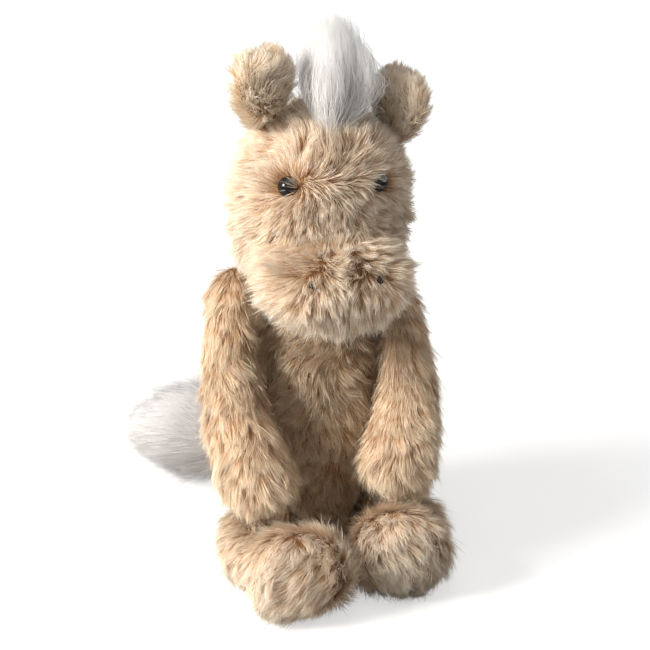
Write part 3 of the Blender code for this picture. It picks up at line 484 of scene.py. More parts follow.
def strand_mesh(name, path, normals, shade, width, source, roll):
    """Tapering ribbons along paths of shape (strands, rings, 3)."""
    count, rings, _ = path.shape
    tangents = unit(np.gradient(path, axis=1))
    side = unit(np.cross(tangents, normals[:, None, :]))
    angles = (source.normal(size=count) * roll)[:, None, None]
    side = side * np.cos(angles) + np.cross(tangents, side) * np.sin(angles)
    shares = np.linspace(0, 1, rings)
    taper = 1 - 0.62 * shares[:-1] ** 1.6
    widths = width * source.uniform(0.75, 1.3, size=count)
    offset = side[:, :-1] * (widths[:, None] * taper[None, :] / 2)[:, :, None]
    per = rings * 2 - 1
    points = np.empty((count, per, 3))
    points[:, 0:-1:2] = path[:, :-1] - offset
    points[:, 1:-1:2] = path[:, :-1] + offset
    points[:, -1] = path[:, -1]
    tip = np.append(np.repeat(shares[:-1], 2), 1)
    quads = [(2 * ring, 2 * ring + 1, 2 * ring + 3, 2 * ring + 2) for ring in range(rings - 2)]
    corners = np.array([corner for quad in quads for corner in quad] + [per - 3, per - 2, per - 1])
    starts = np.arange(rings - 1) * 4
    base = np.arange(count)[:, None]
    mesh = bpy.data.meshes.new(name)
    mesh.vertices.add(count * per)
    mesh.vertices.foreach_set("co", points.ravel())
    mesh.loops.add(count * len(corners))
    mesh.loops.foreach_set("vertex_index", (base * per + corners[None, :]).ravel().astype(np.int32))
    mesh.polygons.add(count * len(starts))
    mesh.polygons.foreach_set("loop_start", (base * len(corners) + starts[None, :]).ravel().astype(np.int32))
    mesh.update(calc_edges=True)
    for label, values in (("tip", np.tile(tip, count)), ("shade", np.repeat(shade, per))):
        mesh.attributes.new(label, "FLOAT", "POINT").data.foreach_set("value", values.astype(np.float32))
    spread = np.append(np.tile((-1, 1), rings - 1), 0)
    across = (0.002 + 0.996 * shade[:, None] + spread[None, corners] * 0.0016).ravel()
    upward = np.tile(0.01 + 0.98 * tip[corners], count)
    chart = mesh.uv_layers.new(name="OFBake")
    chart.data.foreach_set("uv", np.stack((across, upward), axis=1).ravel().astype(np.float32))
    mesh.shade_smooth()
    return mesh


# Materials

def new_material(name):
    made = bpy.data.materials.new(name)
    made.use_nodes = True
    tree = made.node_tree
    return made, tree, tree.nodes["Principled BSDF"]


def new_nodes(tree, *kinds):
    return [tree.nodes.new("ShaderNode" + kind) for kind in kinds]


def set_inputs(node, **values):
    """Sets sockets by name, an underscore in the key standing for a space."""
    for key, value in values.items():
        node.inputs[key.replace("_", " ")].default_value = value


def attribute(tree, name):
    node = tree.nodes.new("ShaderNodeAttribute")
    node.attribute_name = name
    return node.outputs["Fac"]


def pile_shade_group():
    """Colour of a strand from its root, middle and tip colours, its place along and its own shade; darker
    towards the root as painted shade.
    """
    name = "pile shade"
    if name in bpy.data.node_groups:
        return bpy.data.node_groups[name]
    group = bpy.data.node_groups.new(name, "ShaderNodeTree")
    face = group.interface
    for label in ("Root", "Middle", "Tip"):
        face.new_socket(name=label, in_out="INPUT", socket_type="NodeSocketColor")
    face.new_socket(name="Spread", in_out="INPUT", socket_type="NodeSocketFloat")
    face.new_socket(name="Color", in_out="OUTPUT", socket_type="NodeSocketColor")
    nodes, links = group.nodes, group.links
    entry, leave = nodes.new("NodeGroupInput"), nodes.new("NodeGroupOutput")
    tip, shade = attribute(group, "tip"), attribute(group, "shade")

    def spread_between(value, low, high):
        node = nodes.new("ShaderNodeMapRange")
        node.interpolation_type = "SMOOTHSTEP"
        set_inputs(node, From_Min=low, From_Max=high)
        links.new(value, node.inputs["Value"])
        return node.outputs["Result"]

    def mix(blend_type, factor, first, second):
        node = nodes.new("ShaderNodeMix")
        node.data_type = "RGBA"
        node.blend_type = blend_type
        if isinstance(factor, (int, float)):
            node.inputs["Factor"].default_value = factor
        else:
            links.new(factor, node.inputs["Factor"])
        links.new(first, node.inputs["A"])
        links.new(second, node.inputs["B"])
        return node.outputs["Result"]

    # Root to tip: the darker root and middle paint the shade deep in the pile.
    lower = mix("MIX", spread_between(tip, 0.0, 0.4), entry.outputs["Root"], entry.outputs["Middle"])
    whole = mix("MIX", spread_between(tip, 0.3, 0.9), lower, entry.outputs["Tip"])
    bright, low, high, grey = new_nodes(group, "MapRange", "Math", "Math", "CombineColor")
    links.new(shade, bright.inputs["Value"])
    low.operation, high.operation = "SUBTRACT", "ADD"
    low.inputs[0].default_value = high.inputs[0].default_value = 1
    links.new(entry.outputs["Spread"], low.inputs[1])
    links.new(entry.outputs["Spread"], high.inputs[1])
    links.new(low.outputs[0], bright.inputs["To Min"])
    links.new(high.outputs[0], bright.inputs["To Max"])
    for channel in ("Red", "Green", "Blue"):
        links.new(bright.outputs["Result"], grey.inputs[channel])
    links.new(mix("MULTIPLY", 1.0, whole, grey.outputs["Color"]), leave.inputs["Color"])
    return group


def pile_material(name, root, middle, tip, spread, roughness, sheen, through, passing):
    """Thin fibres, which also let some light through in the given colour."""
    made, tree, shader = new_material(name)
    thin, both_ways, node = new_nodes(tree, "BsdfTranslucent", "MixShader", "Group")
    thin.inputs["Color"].default_value = (*through, 1)
    both_ways.inputs[0].default_value = passing
    tree.links.new(shader.outputs[0], both_ways.inputs[1])
    tree.links.new(thin.outputs[0], both_ways.inputs[2])
    tree.links.new(both_ways.outputs[0], tree.nodes["Material Output"].inputs["Surface"])
    node.node_tree = pile_shade_group()
    set_inputs(node, Root=(*root, 1), Middle=(*middle, 1), Tip=(*tip, 1), Spread=spread)
    tree.links.new(node.outputs["Color"], shader.inputs["Base Color"])
    set_inputs(shader, Roughness=roughness, Specular_IOR_Level=0.25, Sheen_Weight=sheen, Sheen_Roughness=0.4)
    return made


def grained_material(name, tone, roughness, shades=(0.94, 1.06), grain=400, gloss=0.5, bump_height=0.0):
    """A moulded, spun or knitted finish, with a fine grain between two shades of its tone."""
    made, tree, shader = new_material(name)
    links = tree.links
    place, noise, ramp = new_nodes(tree, "TexCoord", "TexNoise", "ValToRGB")
    noise.inputs["Scale"].default_value = grain
    links.new(place.outputs["Object"], noise.inputs["Vector"])
    for element, shade in zip(ramp.color_ramp.elements, shades):
        element.color = (*[min(1, value * shade) for value in tone], 1)
    links.new(noise.outputs["Fac"], ramp.inputs["Fac"])
    links.new(ramp.outputs["Color"], shader.inputs["Base Color"])
    set_inputs(shader, Roughness=roughness, Specular_IOR_Level=gloss)
    if bump_height:
        bump, = new_nodes(tree, "Bump")
        bump.inputs["Distance"].default_value = bump_height
        links.new(noise.outputs["Fac"], bump.inputs["Height"])
        links.new(bump.outputs["Normal"], shader.inputs["Normal"])
    return made


MATERIALS = {}
# Each pile's spread of shades, roughness and sheen, then the colour and share of the light let through.
PILE_FINISHES = {
    "tan": (0.27, 0.62, 0.25, (0.95, 0.80, 0.62), 0.25),
    "gold": (0.27, 0.62, 0.25, (0.95, 0.77, 0.56), 0.25),
    # pale: painted light, a lighter tan for the ears
    "pale": (0.2, 0.62, 0.3, (0.98, 0.86, 0.70), 0.25),
    "white": (0.04, 0.45, 0.1, (0.99, 0.99, 0.995), 0.55),
    "tail": (0.06, 0.40, 0.15, (0.92, 0.90, 0.87), 0.25),
}


def make_materials():
    colours = settings().colours
    for kind, look in PILE_FINISHES.items():
        root, tip = getattr(colours, kind + "_root"), getattr(colours, kind + "_tip")
        middle = getattr(colours, kind + "_middle", tip)
        MATERIALS[kind] = pile_material(kind + " pile", root, middle, tip, *look)
    knit = {"shades": (0.6, 1), "grain": 900, "bump_height": 0.0003}
    # The tan backing takes the tan root colour, so gaps in the pile show the same painted shade.
    MATERIALS["skin"] = grained_material("tan backing", colours.tan_root, 0.9, **knit)
    MATERIALS["white_skin"] = grained_material("white backing", colours.white_root, 0.9, **knit)
    MATERIALS["bead"] = grained_material("black bead", colours.bead, 0.06, gloss=0.3)
    MATERIALS["washer"] = grained_material("washer plastic", (0.88, 0.88, 0.86), 0.45)
    MATERIALS["thread"] = grained_material("dark thread", colours.thread, 0.7, (0.7, 1.3), 3000)


# Stage

def build_stage():
    stage = settings().stage
    deselect()
    bpy.ops.mesh.primitive_plane_add(size=8, location=(MIDDLE_X, 0, 0))
    floor = bpy.context.object
    floor.name = "floor"
    place_in_mesh(floor)
    made, tree, shader = new_material("pale ground")
    nodes, links = tree.nodes, tree.links
    set_inputs(shader, Base_Color=(*settings().colours.ground, 1), Roughness=0.9, Specular_IOR_Level=0.1)
    glow, place, reach, fade = new_nodes(tree, "Emission", "TexCoord", "VectorMath", "MapRange")
    reach.operation = "LENGTH"
    set_inputs(fade, From_Min=0.15, From_Max=0.45, To_Min=0.62, To_Max=1.0)
    links.new(place.outputs["Object"], reach.inputs[0])
    links.new(reach.outputs["Value"], fade.inputs["Value"])
    links.new(fade.outputs["Result"], glow.inputs["Strength"])
    rays, add, pick = new_nodes(tree, "LightPath", "AddShader", "MixShader")
    links.new(shader.outputs[0], add.inputs[0])
    links.new(glow.outputs[0], add.inputs[1])
    links.new(rays.outputs["Is Camera Ray"], pick.inputs[0])
    links.new(shader.outputs[0], pick.inputs[1])
    links.new(add.outputs[0], pick.inputs[2])
    links.new(pick.outputs[0], nodes["Material Output"].inputs["Surface"])
    floor.data.materials.append(made)
    light_world(stage)
    aim = Vector((MIDDLE_X, PIVOTS["head_turn"].y + stage.aim_forward, stage.aim_height))
    add_lamp("key lamp", aim, -76, 27, 1.05, 0.34, stage.key_power, (1.0, 0.95, 0.88))
    add_lamp("top lamp", aim, -20, 76, 1.1, 0.9, stage.key_power * 0.22, (1.0, 0.98, 0.95))
    add_lamp("fill lamp", aim, 105, 28, 1.3, 1.0, stage.key_power * 0.16, (1.0, 0.99, 0.97))
    add_camera(stage, aim)


def light_world(stage):
    world = bpy.data.worlds.new("soft sky")
    bpy.context.scene.world = world
    world.use_nodes = True
    nodes, links = world.node_tree.nodes, world.node_tree.links
    sky = nodes["Background"]
    set_inputs(sky, Color=(1.0, 0.98, 0.95, 1), Strength=stage.sky)
    white, rays, seen, pick = new_nodes(world.node_tree, "Background", "LightPath", "Math", "MixShader")
    set_inputs(white, Color=(1, 1, 1, 1), Strength=1)
    seen.operation = "MAXIMUM"
    links.new(rays.outputs["Is Camera Ray"], seen.inputs[0])
    links.new(rays.outputs["Is Glossy Ray"], seen.inputs[1])
    links.new(seen.outputs[0], pick.inputs[0])
    links.new(sky.outputs[0], pick.inputs[1])
    links.new(white.outputs[0], pick.inputs[2])
    links.new(pick.outputs[0], nodes["World Output"].inputs["Surface"])


def add_aimed(name, data, aim, azimuth, elevation, distance):
    """Adds a lamp or a camera that looks at its aim from these angles, in degrees."""
    turn, rise = math.radians(azimuth), math.radians(elevation)
    away = Vector((math.sin(turn) * math.cos(rise), -math.cos(turn) * math.cos(rise), math.sin(rise)))
    holder = linked(name, data)
    holder.location = aim + away * distance
    holder.rotation_euler = away.to_track_quat("Z", "Y").to_euler()
    return holder


def add_lamp(name, aim, azimuth, elevation, distance, size, power, tone):
    lamp = bpy.data.lights.new(name, "AREA")
    lamp.size = size
    lamp.energy = power
    lamp.color = tone
    add_aimed(name, lamp, aim, azimuth, elevation, distance)


def add_camera(stage, aim):
    view = bpy.data.cameras.new("camera")
    view.lens = view.sensor_width * stage.distance / stage.span
    view.clip_start = 0.01
    scene = bpy.context.scene
    scene.camera = add_aimed("camera", view, aim, stage.azimuth, stage.elevation, stage.distance)
    scene.view_settings.view_transform = "Standard"


# Pieces

def build_torso():
    sizes = settings().sizes
    nodes = ["body_cover", "body_stuffing", "seat_bean_bag"]
    skin = grow_skin("body_skin", nodes, "torso")
    guides = [((side, ahead, up), (side * 0.12, 0.1 * ahead, -1), 0.16 if ahead > 0 else 0.28, 0.95)
              for side in (-1, 0, 1) for ahead in (-1, 0, 1) for up in (-0.6, 0.1, 0.8)]
    guides += [((0, 1, 0.55), (-0.7, 0.4, 0.3), 0.6, 0.8), ((0.2, 1, 0.4), (0.8, 0.2, -0.5), 0.55, 0.9),
               ((-0.25, 1, 0.35), (-0.6, 0.2, -0.7), 0.55, 0.9), ((1, 0.3, 0.72), (0.8, 0.3, -0.3), 0.9, 1.4),
               ((-1, 0.3, 0.72), (-0.8, 0.3, -0.3), 0.9, 1.4), ((0, -0.2, -1), (0, 1, 0), 0.1, 0.5)]
    guides += [((across, -1, up), (-0.5, -1, 0), 1.1, 1.2)
               for across, up in ((-0.14, -0.52), (0.14, -0.52), (0, -0.40), (0, -0.62), (0, -0.52))]
    groom = combed(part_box("body_cover"), guides)
    # The belly and flanks get painted shade towards the front, where the arms and head shade them.
    zones = (("belly_pile", -2, -0.55, {"lock_turn": 0.4, "roll": 0.15, "front_painted_shade": 0.45}),
             ("flank_pile", -0.55, 0.3, {"density": 0.75, "width": 1.2, "front_painted_shade": 0.45}),
             ("back_pile", 0.3, 2, {"density": 0.6, "width": 1.35}))
    for name, least, most, changes in zones:
        grow_pile(name, skin, "torso", "gold", Pile(sizes.body_pile, groom, **changes),
                  keep=lambda places, normals: (normals[:, 1] >= least) & (normals[:, 1] < most))
    build_neck()


def build_neck():
    sizes = settings().sizes
    skin = grow_skin("neck_skin", ["neck_cover", "neck_stuffing"], "neck", 0.0025, 0.0016, 0.0010)
    guides = [((side, ahead, up), (0, 0, -1), 1.0, 1.5)
              for side in (-1, 1) for ahead in (-1, 1) for up in (-0.6, 0.6)]
    grow_pile("neck_pile", skin, "neck", "gold",
              Pile(sizes.body_pile * 0.7, combed(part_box("neck_cover"), guides), density=0.7, width=1.2),
              keep=lambda places, normals: np.abs(normals[:, 2]) < 0.7)


def build_arm(side):
    sizes = settings().sizes
    nodes = [side + "_arm_cover", side + "_arm_stuffing", side + "_paw_pellets"]
    low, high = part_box(side + "_arm_cover")
    out = SIDES[side]
    inner = high.x if side == "right" else low.x
    raised = 0.0100 if side == "right" else 0.0045
    widened = 0.0020

    def shoulder(points):
        """Rounds the shoulder up beside the head."""
        outer = smooth_step(out * (points[:, 0] - inner), 0.004, 0.016)
        near_top = smooth_step(points[:, 2], high.z - 0.026, high.z - 0.004)
        points[:, 2] += raised * outer * near_top
        points[:, 0] += out * widened * outer * near_top
        return points

    skin = grow_skin(side + "_arm_skin", nodes, side + "_arm", shaped=shoulder)
    guides = [((across, 0.0, up), (out * 0.1, 0.5, -1), 0.38, 1.05)
              for across in (-1, 1) for up in (-0.6, 0, 0.5)]
    guides += [((0, 1, -0.7), (0, 0.1, -1), 0.5, 1.05), ((0, 0.2, -1), (0, 0.3, -1), 0.8, 0.85),
               ((0, -1, 0.5), (0, -0.3, -1), 0.5, 1), ((out * 0.5, -0.5, 1), (out * 0.3, 0.6, -1), 0.35, 1),
               ((-out * 0.2, -0.3, 1), (0, 0.6, -1), 0.4, 1),
               ((out * 0.5, -1, 1), (out * 0.3, 0.6, -1), 0.35, 1),
               ((out, -0.5, 0.7), (0, 0.3, -1), 0.3, 1), ((out, -1, 0.6), (0, 0.3, -1), 0.3, 1)]
    grow_pile(side + "_arm_pile", skin, side + "_arm", "gold",
              Pile(sizes.limb_pile, combed(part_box(side + "_arm_cover"), guides), spacing=0.0028, rough=0.55,
                   swirl=0.2, curl=0.2, lock_turn=0.2, density=1.15))


def build_leg(side):
    sizes = settings().sizes
    nodes = [side + "_leg_cover", side + "_leg_stuffing", side + "_foot_pellets"]
    lean, lift, inner = (-0.9, 0.42, 1) if side == "right" else (0.15, 0.26, -1)
    middle = middle_of(side + "_leg_cover")
    widened = 0.0022

    def instep(points):
        """Fills out the inner side of the foot, towards the other one."""
        inside = smooth_step(inner * (points[:, 0] - middle.x), 0.003, 0.018)
        ahead = smooth_step(middle.y - points[:, 1], -0.006, 0.006)
        points[:, 0] += inner * widened * inside * ahead
        return points

    skin = grow_skin(side + "_leg_skin", nodes, side + "_leg", shaped=instep)
    guides = [((across, ahead, up), (lean, *way), lift, 1)
              for across in (-0.5, 0, 0.5) for ahead in (-0.6, 0.2, 0.9)
              for up, way in ((-0.3, (0.5, -0.8)), (0.7, (1, -0.1)))]
    guides += [((across, 0, -1), (lean, 0.8, 0), 0.1, 0.5) for across in (-0.7, 0, 0.7)]
    towards = (-0.2, 0.4, 1) if side == "right" else (0, 0.8, -0.5)
    guides += [((inner, ahead, up), towards, 0.5, 1.1) for ahead in (0, 0.7) for up in (-0.4, 0.4)]
    guides += [((-inner, 0.7, up), (-inner * 0.3, 0.2, -0.8), 0.4, 1) for up in (-0.4, 0.4)]
    if side == "right":
        guides += [((-1, ahead, up), (0.05, 0.1, -1), 0.10, 0.7) for ahead in (-0.6, -0.2, 0.15)
                   for up in (-0.4, 0.2, 0.8)]
        guides += [((-0.75, 0.4, up), (-0.2, 0.1, -1), 0.2, 0.5) for up in (-0.2, 0.6)]
    # The left leg's pile gets painted shade towards the front, where the right foot shades it.
    grow_pile(side + "_leg_pile", skin, side + "_leg", "tan",
              Pile(sizes.limb_pile, combed(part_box(side + "_leg_cover"), guides), spacing=0.0028, rough=0.6,
                   front_painted_shade=0 if side == "right" else 0.45))


def both(*guides):
    """Guides on both sides of the middle, from those of the left side."""
    other = [((-place[0], *place[1:]), (-way[0], *way[1:]), *rest) for place, way, *rest in guides]
    return list(guides) + other


def build_head():
    sizes = settings().sizes
    skin = grow_skin("head_skin", ["head_cover", "head_stuffing", "muzzle_cover"], "head")
    face = both(
        ((0.0, 0.7, 0.85), (0, -0.3, 1), 0.7, 1), ((0.4, 0.6, 0.85), (0.5, -0.4, 0.6), 0.7, 1),
        ((0.0, 0.92, 0.64), (0.1, 0, 1), 0.95, 1), ((0.3, 0.9, 0.64), (0.3, 0, 1), 0.95, 1.05),
        ((0.6, 0.7, 0.6), (0.8, -0.2, 0.5), 0.75, 1), ((0.0, 1.0, 0.50), (0.05, 0, 1), 1.1, 1),
        ((0.25, 0.98, 0.52), (0.35, 0, 0.9), 1.1, 1), ((0.6, 0.8, 0.45), (0.8, -0.1, 0.5), 0.9, 0.95),
        ((0.0, 1.0, 0.29), (0.1, 0, -1), 0.85, 0.7), ((0.25, 0.98, 0.29), (0.2, 0, -1), 0.8, 0.7),
        ((0.78, 0.65, 0.25), (0.9, -0.4, -0.15), 0.75, 1.25), ((0.0, 1.0, -0.1), (0.1, 0, -1), 0.65, 0.68),
        ((0.3, 0.95, -0.1), (0.2, 0, -1), 0.6, 0.75), ((0.6, 0.8, 0.0), (0.6, 0, -0.8), 0.6, 0.95),
        ((0.0, 1.0, -0.35), (0, 0, -1), 0.8, 0.8), ((0.0, 0.3, 1.0), (0, -1, 0.2), 0.5, 1),
        ((0.5, 0.2, 0.9), (0.7, -0.6, 0.1), 0.6, 1), ((0.85, 0.5, -0.1), (0.75, -0.5, -0.4), 0.8, 1.3),
        ((0.8, 0.6, -0.55), (0.8, -0.1, -0.6), 0.9, 1.3), ((1.0, 0.0, 0.2), (0.3, -0.9, -0.3), 0.85, 1.3),
        ((1.0, 0.0, -0.5), (0.2, -0.5, -0.8), 0.85, 1.3), ((0.5, 0.3, -0.95), (0.3, -0.8, -0.2), 0.6, 0.9),
        ((0.0, -1.0, 0.5), (0, 0, -1), 0.5, 1), ((0.6, -0.8, 0.0), (0.1, 0, -1), 0.5, 1),
        ((0.4, -0.9, -0.6), (0, 0, -1), 0.5, 1))
    face += [((across, 1.0, 0.39), (1, 0, 0.15), 0.8, 0.8) for across in (-0.3, -0.08, 0.14, 0.36)]
    snout = both(
        ((0.46, 0.95, 0.37), (0.1, 0.2, -1), 0.9, 0.3), ((0.46, 0.9, 0.85), (0.1, 0.3, 1), 1.05, 0.95),
        ((0.8, 0.7, 0.75), (0.8, 0.1, 0.6), 0.95, 1.05), ((0.85, 0.8, 0.3), (1, 0, 0), 0.7, 1.1),
        ((0.75, 0.85, -0.1), (0.8, 0, -0.6), 0.6, 1.1), ((0.5, 0.95, -0.1), (0.15, 0, -1), 0.6, 1.1),
        ((0.2, 0.95, 0.0), (-0.2, 0, -1), 0.6, 1), ((0.15, 0.95, 0.4), (-0.6, 0, -0.4), 0.8, 0.7),
        ((0.0, 0.95, 0.85), (0, 0.3, 1), 1.05, 0.85), ((0.95, 0.3, 0.5), (0.8, -0.4, 0.1), 0.9, 1.35),
        ((0.95, 0.3, -0.2), (0.8, -0.3, -0.5), 0.85, 1.3), ((0.6, 0.7, -0.6), (0.5, 0.1, -1), 0.6, 1.15),
        ((0.0, 0.8, -0.6), (0, 0.1, -1), 0.6, 1.15), ((0.4, 0.3, -1.0), (0.3, -0.4, -0.8), 0.8, 0.9),
        ((0.0, 0.0, -1.0), (0, -1, -0.2), 0.6, 0.7))
    head_groom = combed(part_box("head_cover"), face)
    snout_groom = combed(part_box("muzzle_cover"), snout)
    low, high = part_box("muzzle_cover")
    ridge, depth = high.z + 0.0010, low.y + 0.030
    turn = 0.3

    def on_muzzle(places):
        return (places[:, 2] < ridge) & (places[:, 1] < depth)

    bare = [(tuple(middle_of(side + "_eye")), sizes.eye_radius * share)
            for side, share in (("right", 0.78), ("left", 0.85))]
    nostrils = [(tuple(middle_of(side + "_nostril")), 0.0010) for side in SIDES]
    brow = (low.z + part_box("head_cover")[1].z) / 2
    for name, above in (("brow_pile", True), ("cheek_pile", False)):
        grow_pile(name, skin, "head", "tan", Pile(sizes.head_pile, head_groom),
                  keep=lambda places, normals: ~on_muzzle(places) & (normals[:, 1] < turn)
                  & ((places[:, 2] > brow) == above), bare=bare)
    grow_pile("nape_pile", skin, "head", "tan", Pile(sizes.head_pile, head_groom, density=0.65, width=1.3),
              keep=lambda places, normals: ~on_muzzle(places) & (normals[:, 1] >= turn))
    grow_pile("muzzle_pile", skin, "head", "tan",
              Pile(sizes.muzzle_pile, snout_groom, lay=0.35, swirl=0.12, lock_turn=0.10, spacing=0.0021,
                   clump=0.6, curl=0.2, density=1.3, width=0.9),
              keep=lambda places, normals: on_muzzle(places), bare=nostrils)


def build_ear(side):
    sizes = settings().sizes
    nodes = [side + "_ear_back", side + "_ear_lining"]
    middle = np.array(middle_of(nodes[0]))
    half_sizes = (0.0135, 1, 0.0185)
    rise = 0.0065 if side == "right" else 0.0020

    def knob(points):
        """Rounds the ear's front, where the pile stands thick."""
        shares = (points - middle) / half_sizes
        dome = np.clip(1 - shares[:, 0] ** 2 - shares[:, 2] ** 2, 0, 1)
        points[:, 1] -= rise * dome * smooth_step(middle[1] - points[:, 1], -0.002, 0.002)
        return points

    skin = grow_skin(side + "_ear_skin", nodes, side + "_ear", 0.0012, 0.0012, rounds=3, level=0,
                     hull=True, shaped=knob)
    if side == "right":
        guides = [((across, 1, up), (-0.5, 0, 0.8), 0.8, 1.2)
                  for across in (-0.8, 0, 0.8) for up in (-0.7, 0, 0.7)]
        guides += [((0, 0, 1), (-0.6, -0.8, 0.2), 0.5, 1.1), ((-1, 0, 0.2), (-0.2, 0.2, 0.8), 0.4, 1.1),
                   ((1, 0, 0.2), (0.2, -0.4, 0.6), 0.4, 1), ((0, -1, 0), (-0.3, 0, 1), 0.4, 1)]
        changes = {"swirl": 0.8, "swirl_size": 0.013, "curl": 0.5}
    else:
        guides = [((across, ahead, up), (0.1, 0, 1), 0.5, 1.15 if up < 0.5 else 0.8)
                  for across in (-1, 0, 1) for ahead in (-1, 1) for up in (-0.8, 0.2, 1)]
        changes = {"swirl": 0.2}
    # The ears' paler pile paints light on their fronts, which the lamps only graze.
    grow_pile(side + "_ear_pile", skin, side + "_ear", "pale",
              Pile(sizes.ear_pile, combed(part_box(side + "_ear_back"), guides), lock=0.005, spacing=0.002,
                   density=1.5, rough=0.45, clump=0.3, **changes))


def build_forelock():
    """Long white strands that fan out from a narrow root into a ragged flame."""
    sizes = settings().sizes
    low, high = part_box("forelock_pile")
    root_low, root_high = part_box("forelock_backing")
    source = np.random.default_rng(sizes.seed)
    count, locks, steps = 9000, 150, 6
    reach = 0.0045
    middle = (low + high) / 2 - Vector((0.0028, 0, 0))
    of_lock = source.integers(0, locks, count)
    spot = source.uniform(-1, 1, (locks, 2))
    spot /= np.maximum(1, np.linalg.norm(spot, axis=1, keepdims=True))
    aim = spot[of_lock]
    stray = source.normal(size=(count, 2)) * 0.16
    wisp = source.random(count) < 0.04
    aim[wisp, 0] *= source.uniform(1.1, 1.45, wisp.sum())
    roots = np.stack(((root_low.x + root_high.x) / 2 + source.uniform(-1, 1, count) * 0.0032,
                      (root_low.y + root_high.y) / 2 + source.uniform(-1, 1, count) * 0.0130,
                      np.full(count, root_high.z - 0.004)), axis=1)
    slope = (roots[:, 1] - root_high.y) / (root_low.y - root_high.y)
    roots[:, 2] -= 0.0065 * np.clip(slope, 0, 1) ** 2
    roots[:, 0] += ((root_low.x + root_high.x) / 2 - roots[:, 0]) * 0.8 * np.clip(slope, 0, 1)
    top = high.z + reach - roots[:, 2]
    tall = top * (1 - 0.5 * np.minimum(np.abs(aim[:, 0]), 1.1) ** 5) * (1 - 0.30 * np.abs(aim[:, 1]) ** 2)
    tall *= np.clip(1.02 - source.uniform(0, 0.26, locks)[of_lock] + source.normal(size=count) * 0.06,
                    0.5, 1.06)
    half_wide, half_deep = (high.x - low.x) / 2 * 0.80, (high.y - low.y) / 2
    rings = []
    wave = source.normal(size=(locks, 2))[of_lock] * 0.0022 + source.normal(size=(count, 2)) * 0.0010
    phase = source.uniform(0, math.tau, locks)[of_lock] + source.normal(size=count) * 0.6
    for ring in range(steps + 1):
        portion = ring / steps
        fan = math.sin(min(1, portion / 0.5) * math.pi / 2) ** 0.8
        fan *= 1 - 0.35 * portion ** 3
        sway = (np.sin(portion * 5.2 + phase) - np.sin(phase)) * portion ** 0.5
        spread = (aim + stray * (1 - 0.75 * portion ** 2)) * fan
        across = roots[:, 0] + (middle.x - roots[:, 0]) * fan + spread[:, 0] * half_wide + wave[:, 0] * sway
        deep = roots[:, 1] + (middle.y - roots[:, 1]) * fan + spread[:, 1] * half_deep + wave[:, 1] * sway
        rings.append(np.stack((across, deep, roots[:, 2] + tall * portion), axis=1))
    path = np.stack(rings, axis=1)
    outward = unit(unit(path[:, 3] - np.array((middle.x, middle.y, middle.z))) + (-0.7, -0.1, 0.2))
    shade = 0.5 + (source.random(locks)[of_lock] - 0.5) * 0.6 + (source.random(count) - 0.5) * 0.5
    mesh = strand_mesh("forelock", path, outward, np.clip(shade, 0, 1), sizes.strand_width * 0.95, source,
                       roll=0.7)
    finish(linked("forelock", mesh), "white", "head", "white_pile", "forelock_pile", "forelock_backing")


def build_mane():
    def crest(points):
        """Lowers the front end, behind the forelock."""
        points[:, 2] -= 0.006 * smooth_step(-points[:, 1], -0.014, 0.002)
        return points

    skin = grow_skin("mane_skin", ["mane_pile"], "head", 0.0016, 0.0022, rounds=4, level=0, shaped=crest,
                     white=True)
    guides = both(((0.6, -0.2, 0.9), (0.3, -0.9, 0.1), 0.45, 0.9),
                  ((0.8, -0.9, 0.4), (0.6, -0.5, -0.5), 0.7, 1),
                  ((0.8, -0.9, -0.6), (0.5, -0.5, -0.9), 0.7, 1),
                  ((0, 0.8, 1), (0, -1, 0.1), 0.3, 0.45), ((0, 0.2, 1), (0, -1, 0.3), 0.5, 0.8))
    grow_pile("mane", skin, "head", "white",
              Pile(0.011, combed(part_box("mane_pile"), guides), swirl=0.25, lay=0.5))


def build_tail():
    sizes = settings().sizes
    skin = grow_skin("tail_skin", ["tail_pile", "tail_core"], "tail", 0.0022, 0.0012, rounds=3, level=0,
                     white=True)
    low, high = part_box("tail_pile")
    root = np.array(PIVOTS["tail_sweep"])
    tip = np.array((low.x, high.y - 0.012, root[2]))
    axis = tip - root

    def groom(places, normals):
        """Combs along the tail; strands get shorter towards its end and stand out there."""
        along = (places - root) @ axis / (axis @ axis)
        end = np.clip(normals @ unit(axis), 0, 1) ** 2
        ways = np.repeat(axis[None, :], len(places), axis=0)
        return ways, 0.14 + 1.1 * end, np.clip(1.4 - along, 0.36, 1) * (1 - 0.5 * end)

    grow_pile("tail_strands", skin, "tail", "tail",
              Pile(sizes.tail_pile, groom, swirl=0.08, lay=0.9, curl=0.12, density=0.7, clump=0.45, steps=4,
                   loose=0.03, rough=0.5))


def build_eyes():
    sizes = settings().sizes
    for side in SIDES:
        deselect()
        place = middle_of(side + "_eye")
        bpy.ops.mesh.primitive_uv_sphere_add(segments=40, ring_count=24, radius=sizes.eye_radius,
                                             location=place)
        eye = bpy.context.object
        eye.name = side + "_bead"
        place_in_mesh(eye)
        bpy.ops.object.shade_smooth()
        finish(eye, "bead", "head", "black_bead", side + "_eye")
        build_washer(side, place)


def build_washer(side, bead):
    """The lock washer behind an eye, just under the knit."""
    inward = (middle_of(side + "_eye_washer") - bead).normalized()
    deselect()
    bpy.ops.mesh.primitive_cylinder_add(vertices=32, radius=0.0032, depth=0.0012,
                                        location=bead + inward * (settings().sizes.eye_radius + 0.0012),
                                        rotation=inward.to_track_quat("Z", "Y").to_euler())
    washer = bpy.context.object
    washer.name = side + "_washer"
    place_in_mesh(washer)
    apply_modifier(washer, "BEVEL", width=0.0003, segments=2)
    finish(washer, "washer", "head", "washer_plastic", side + "_eye_washer")


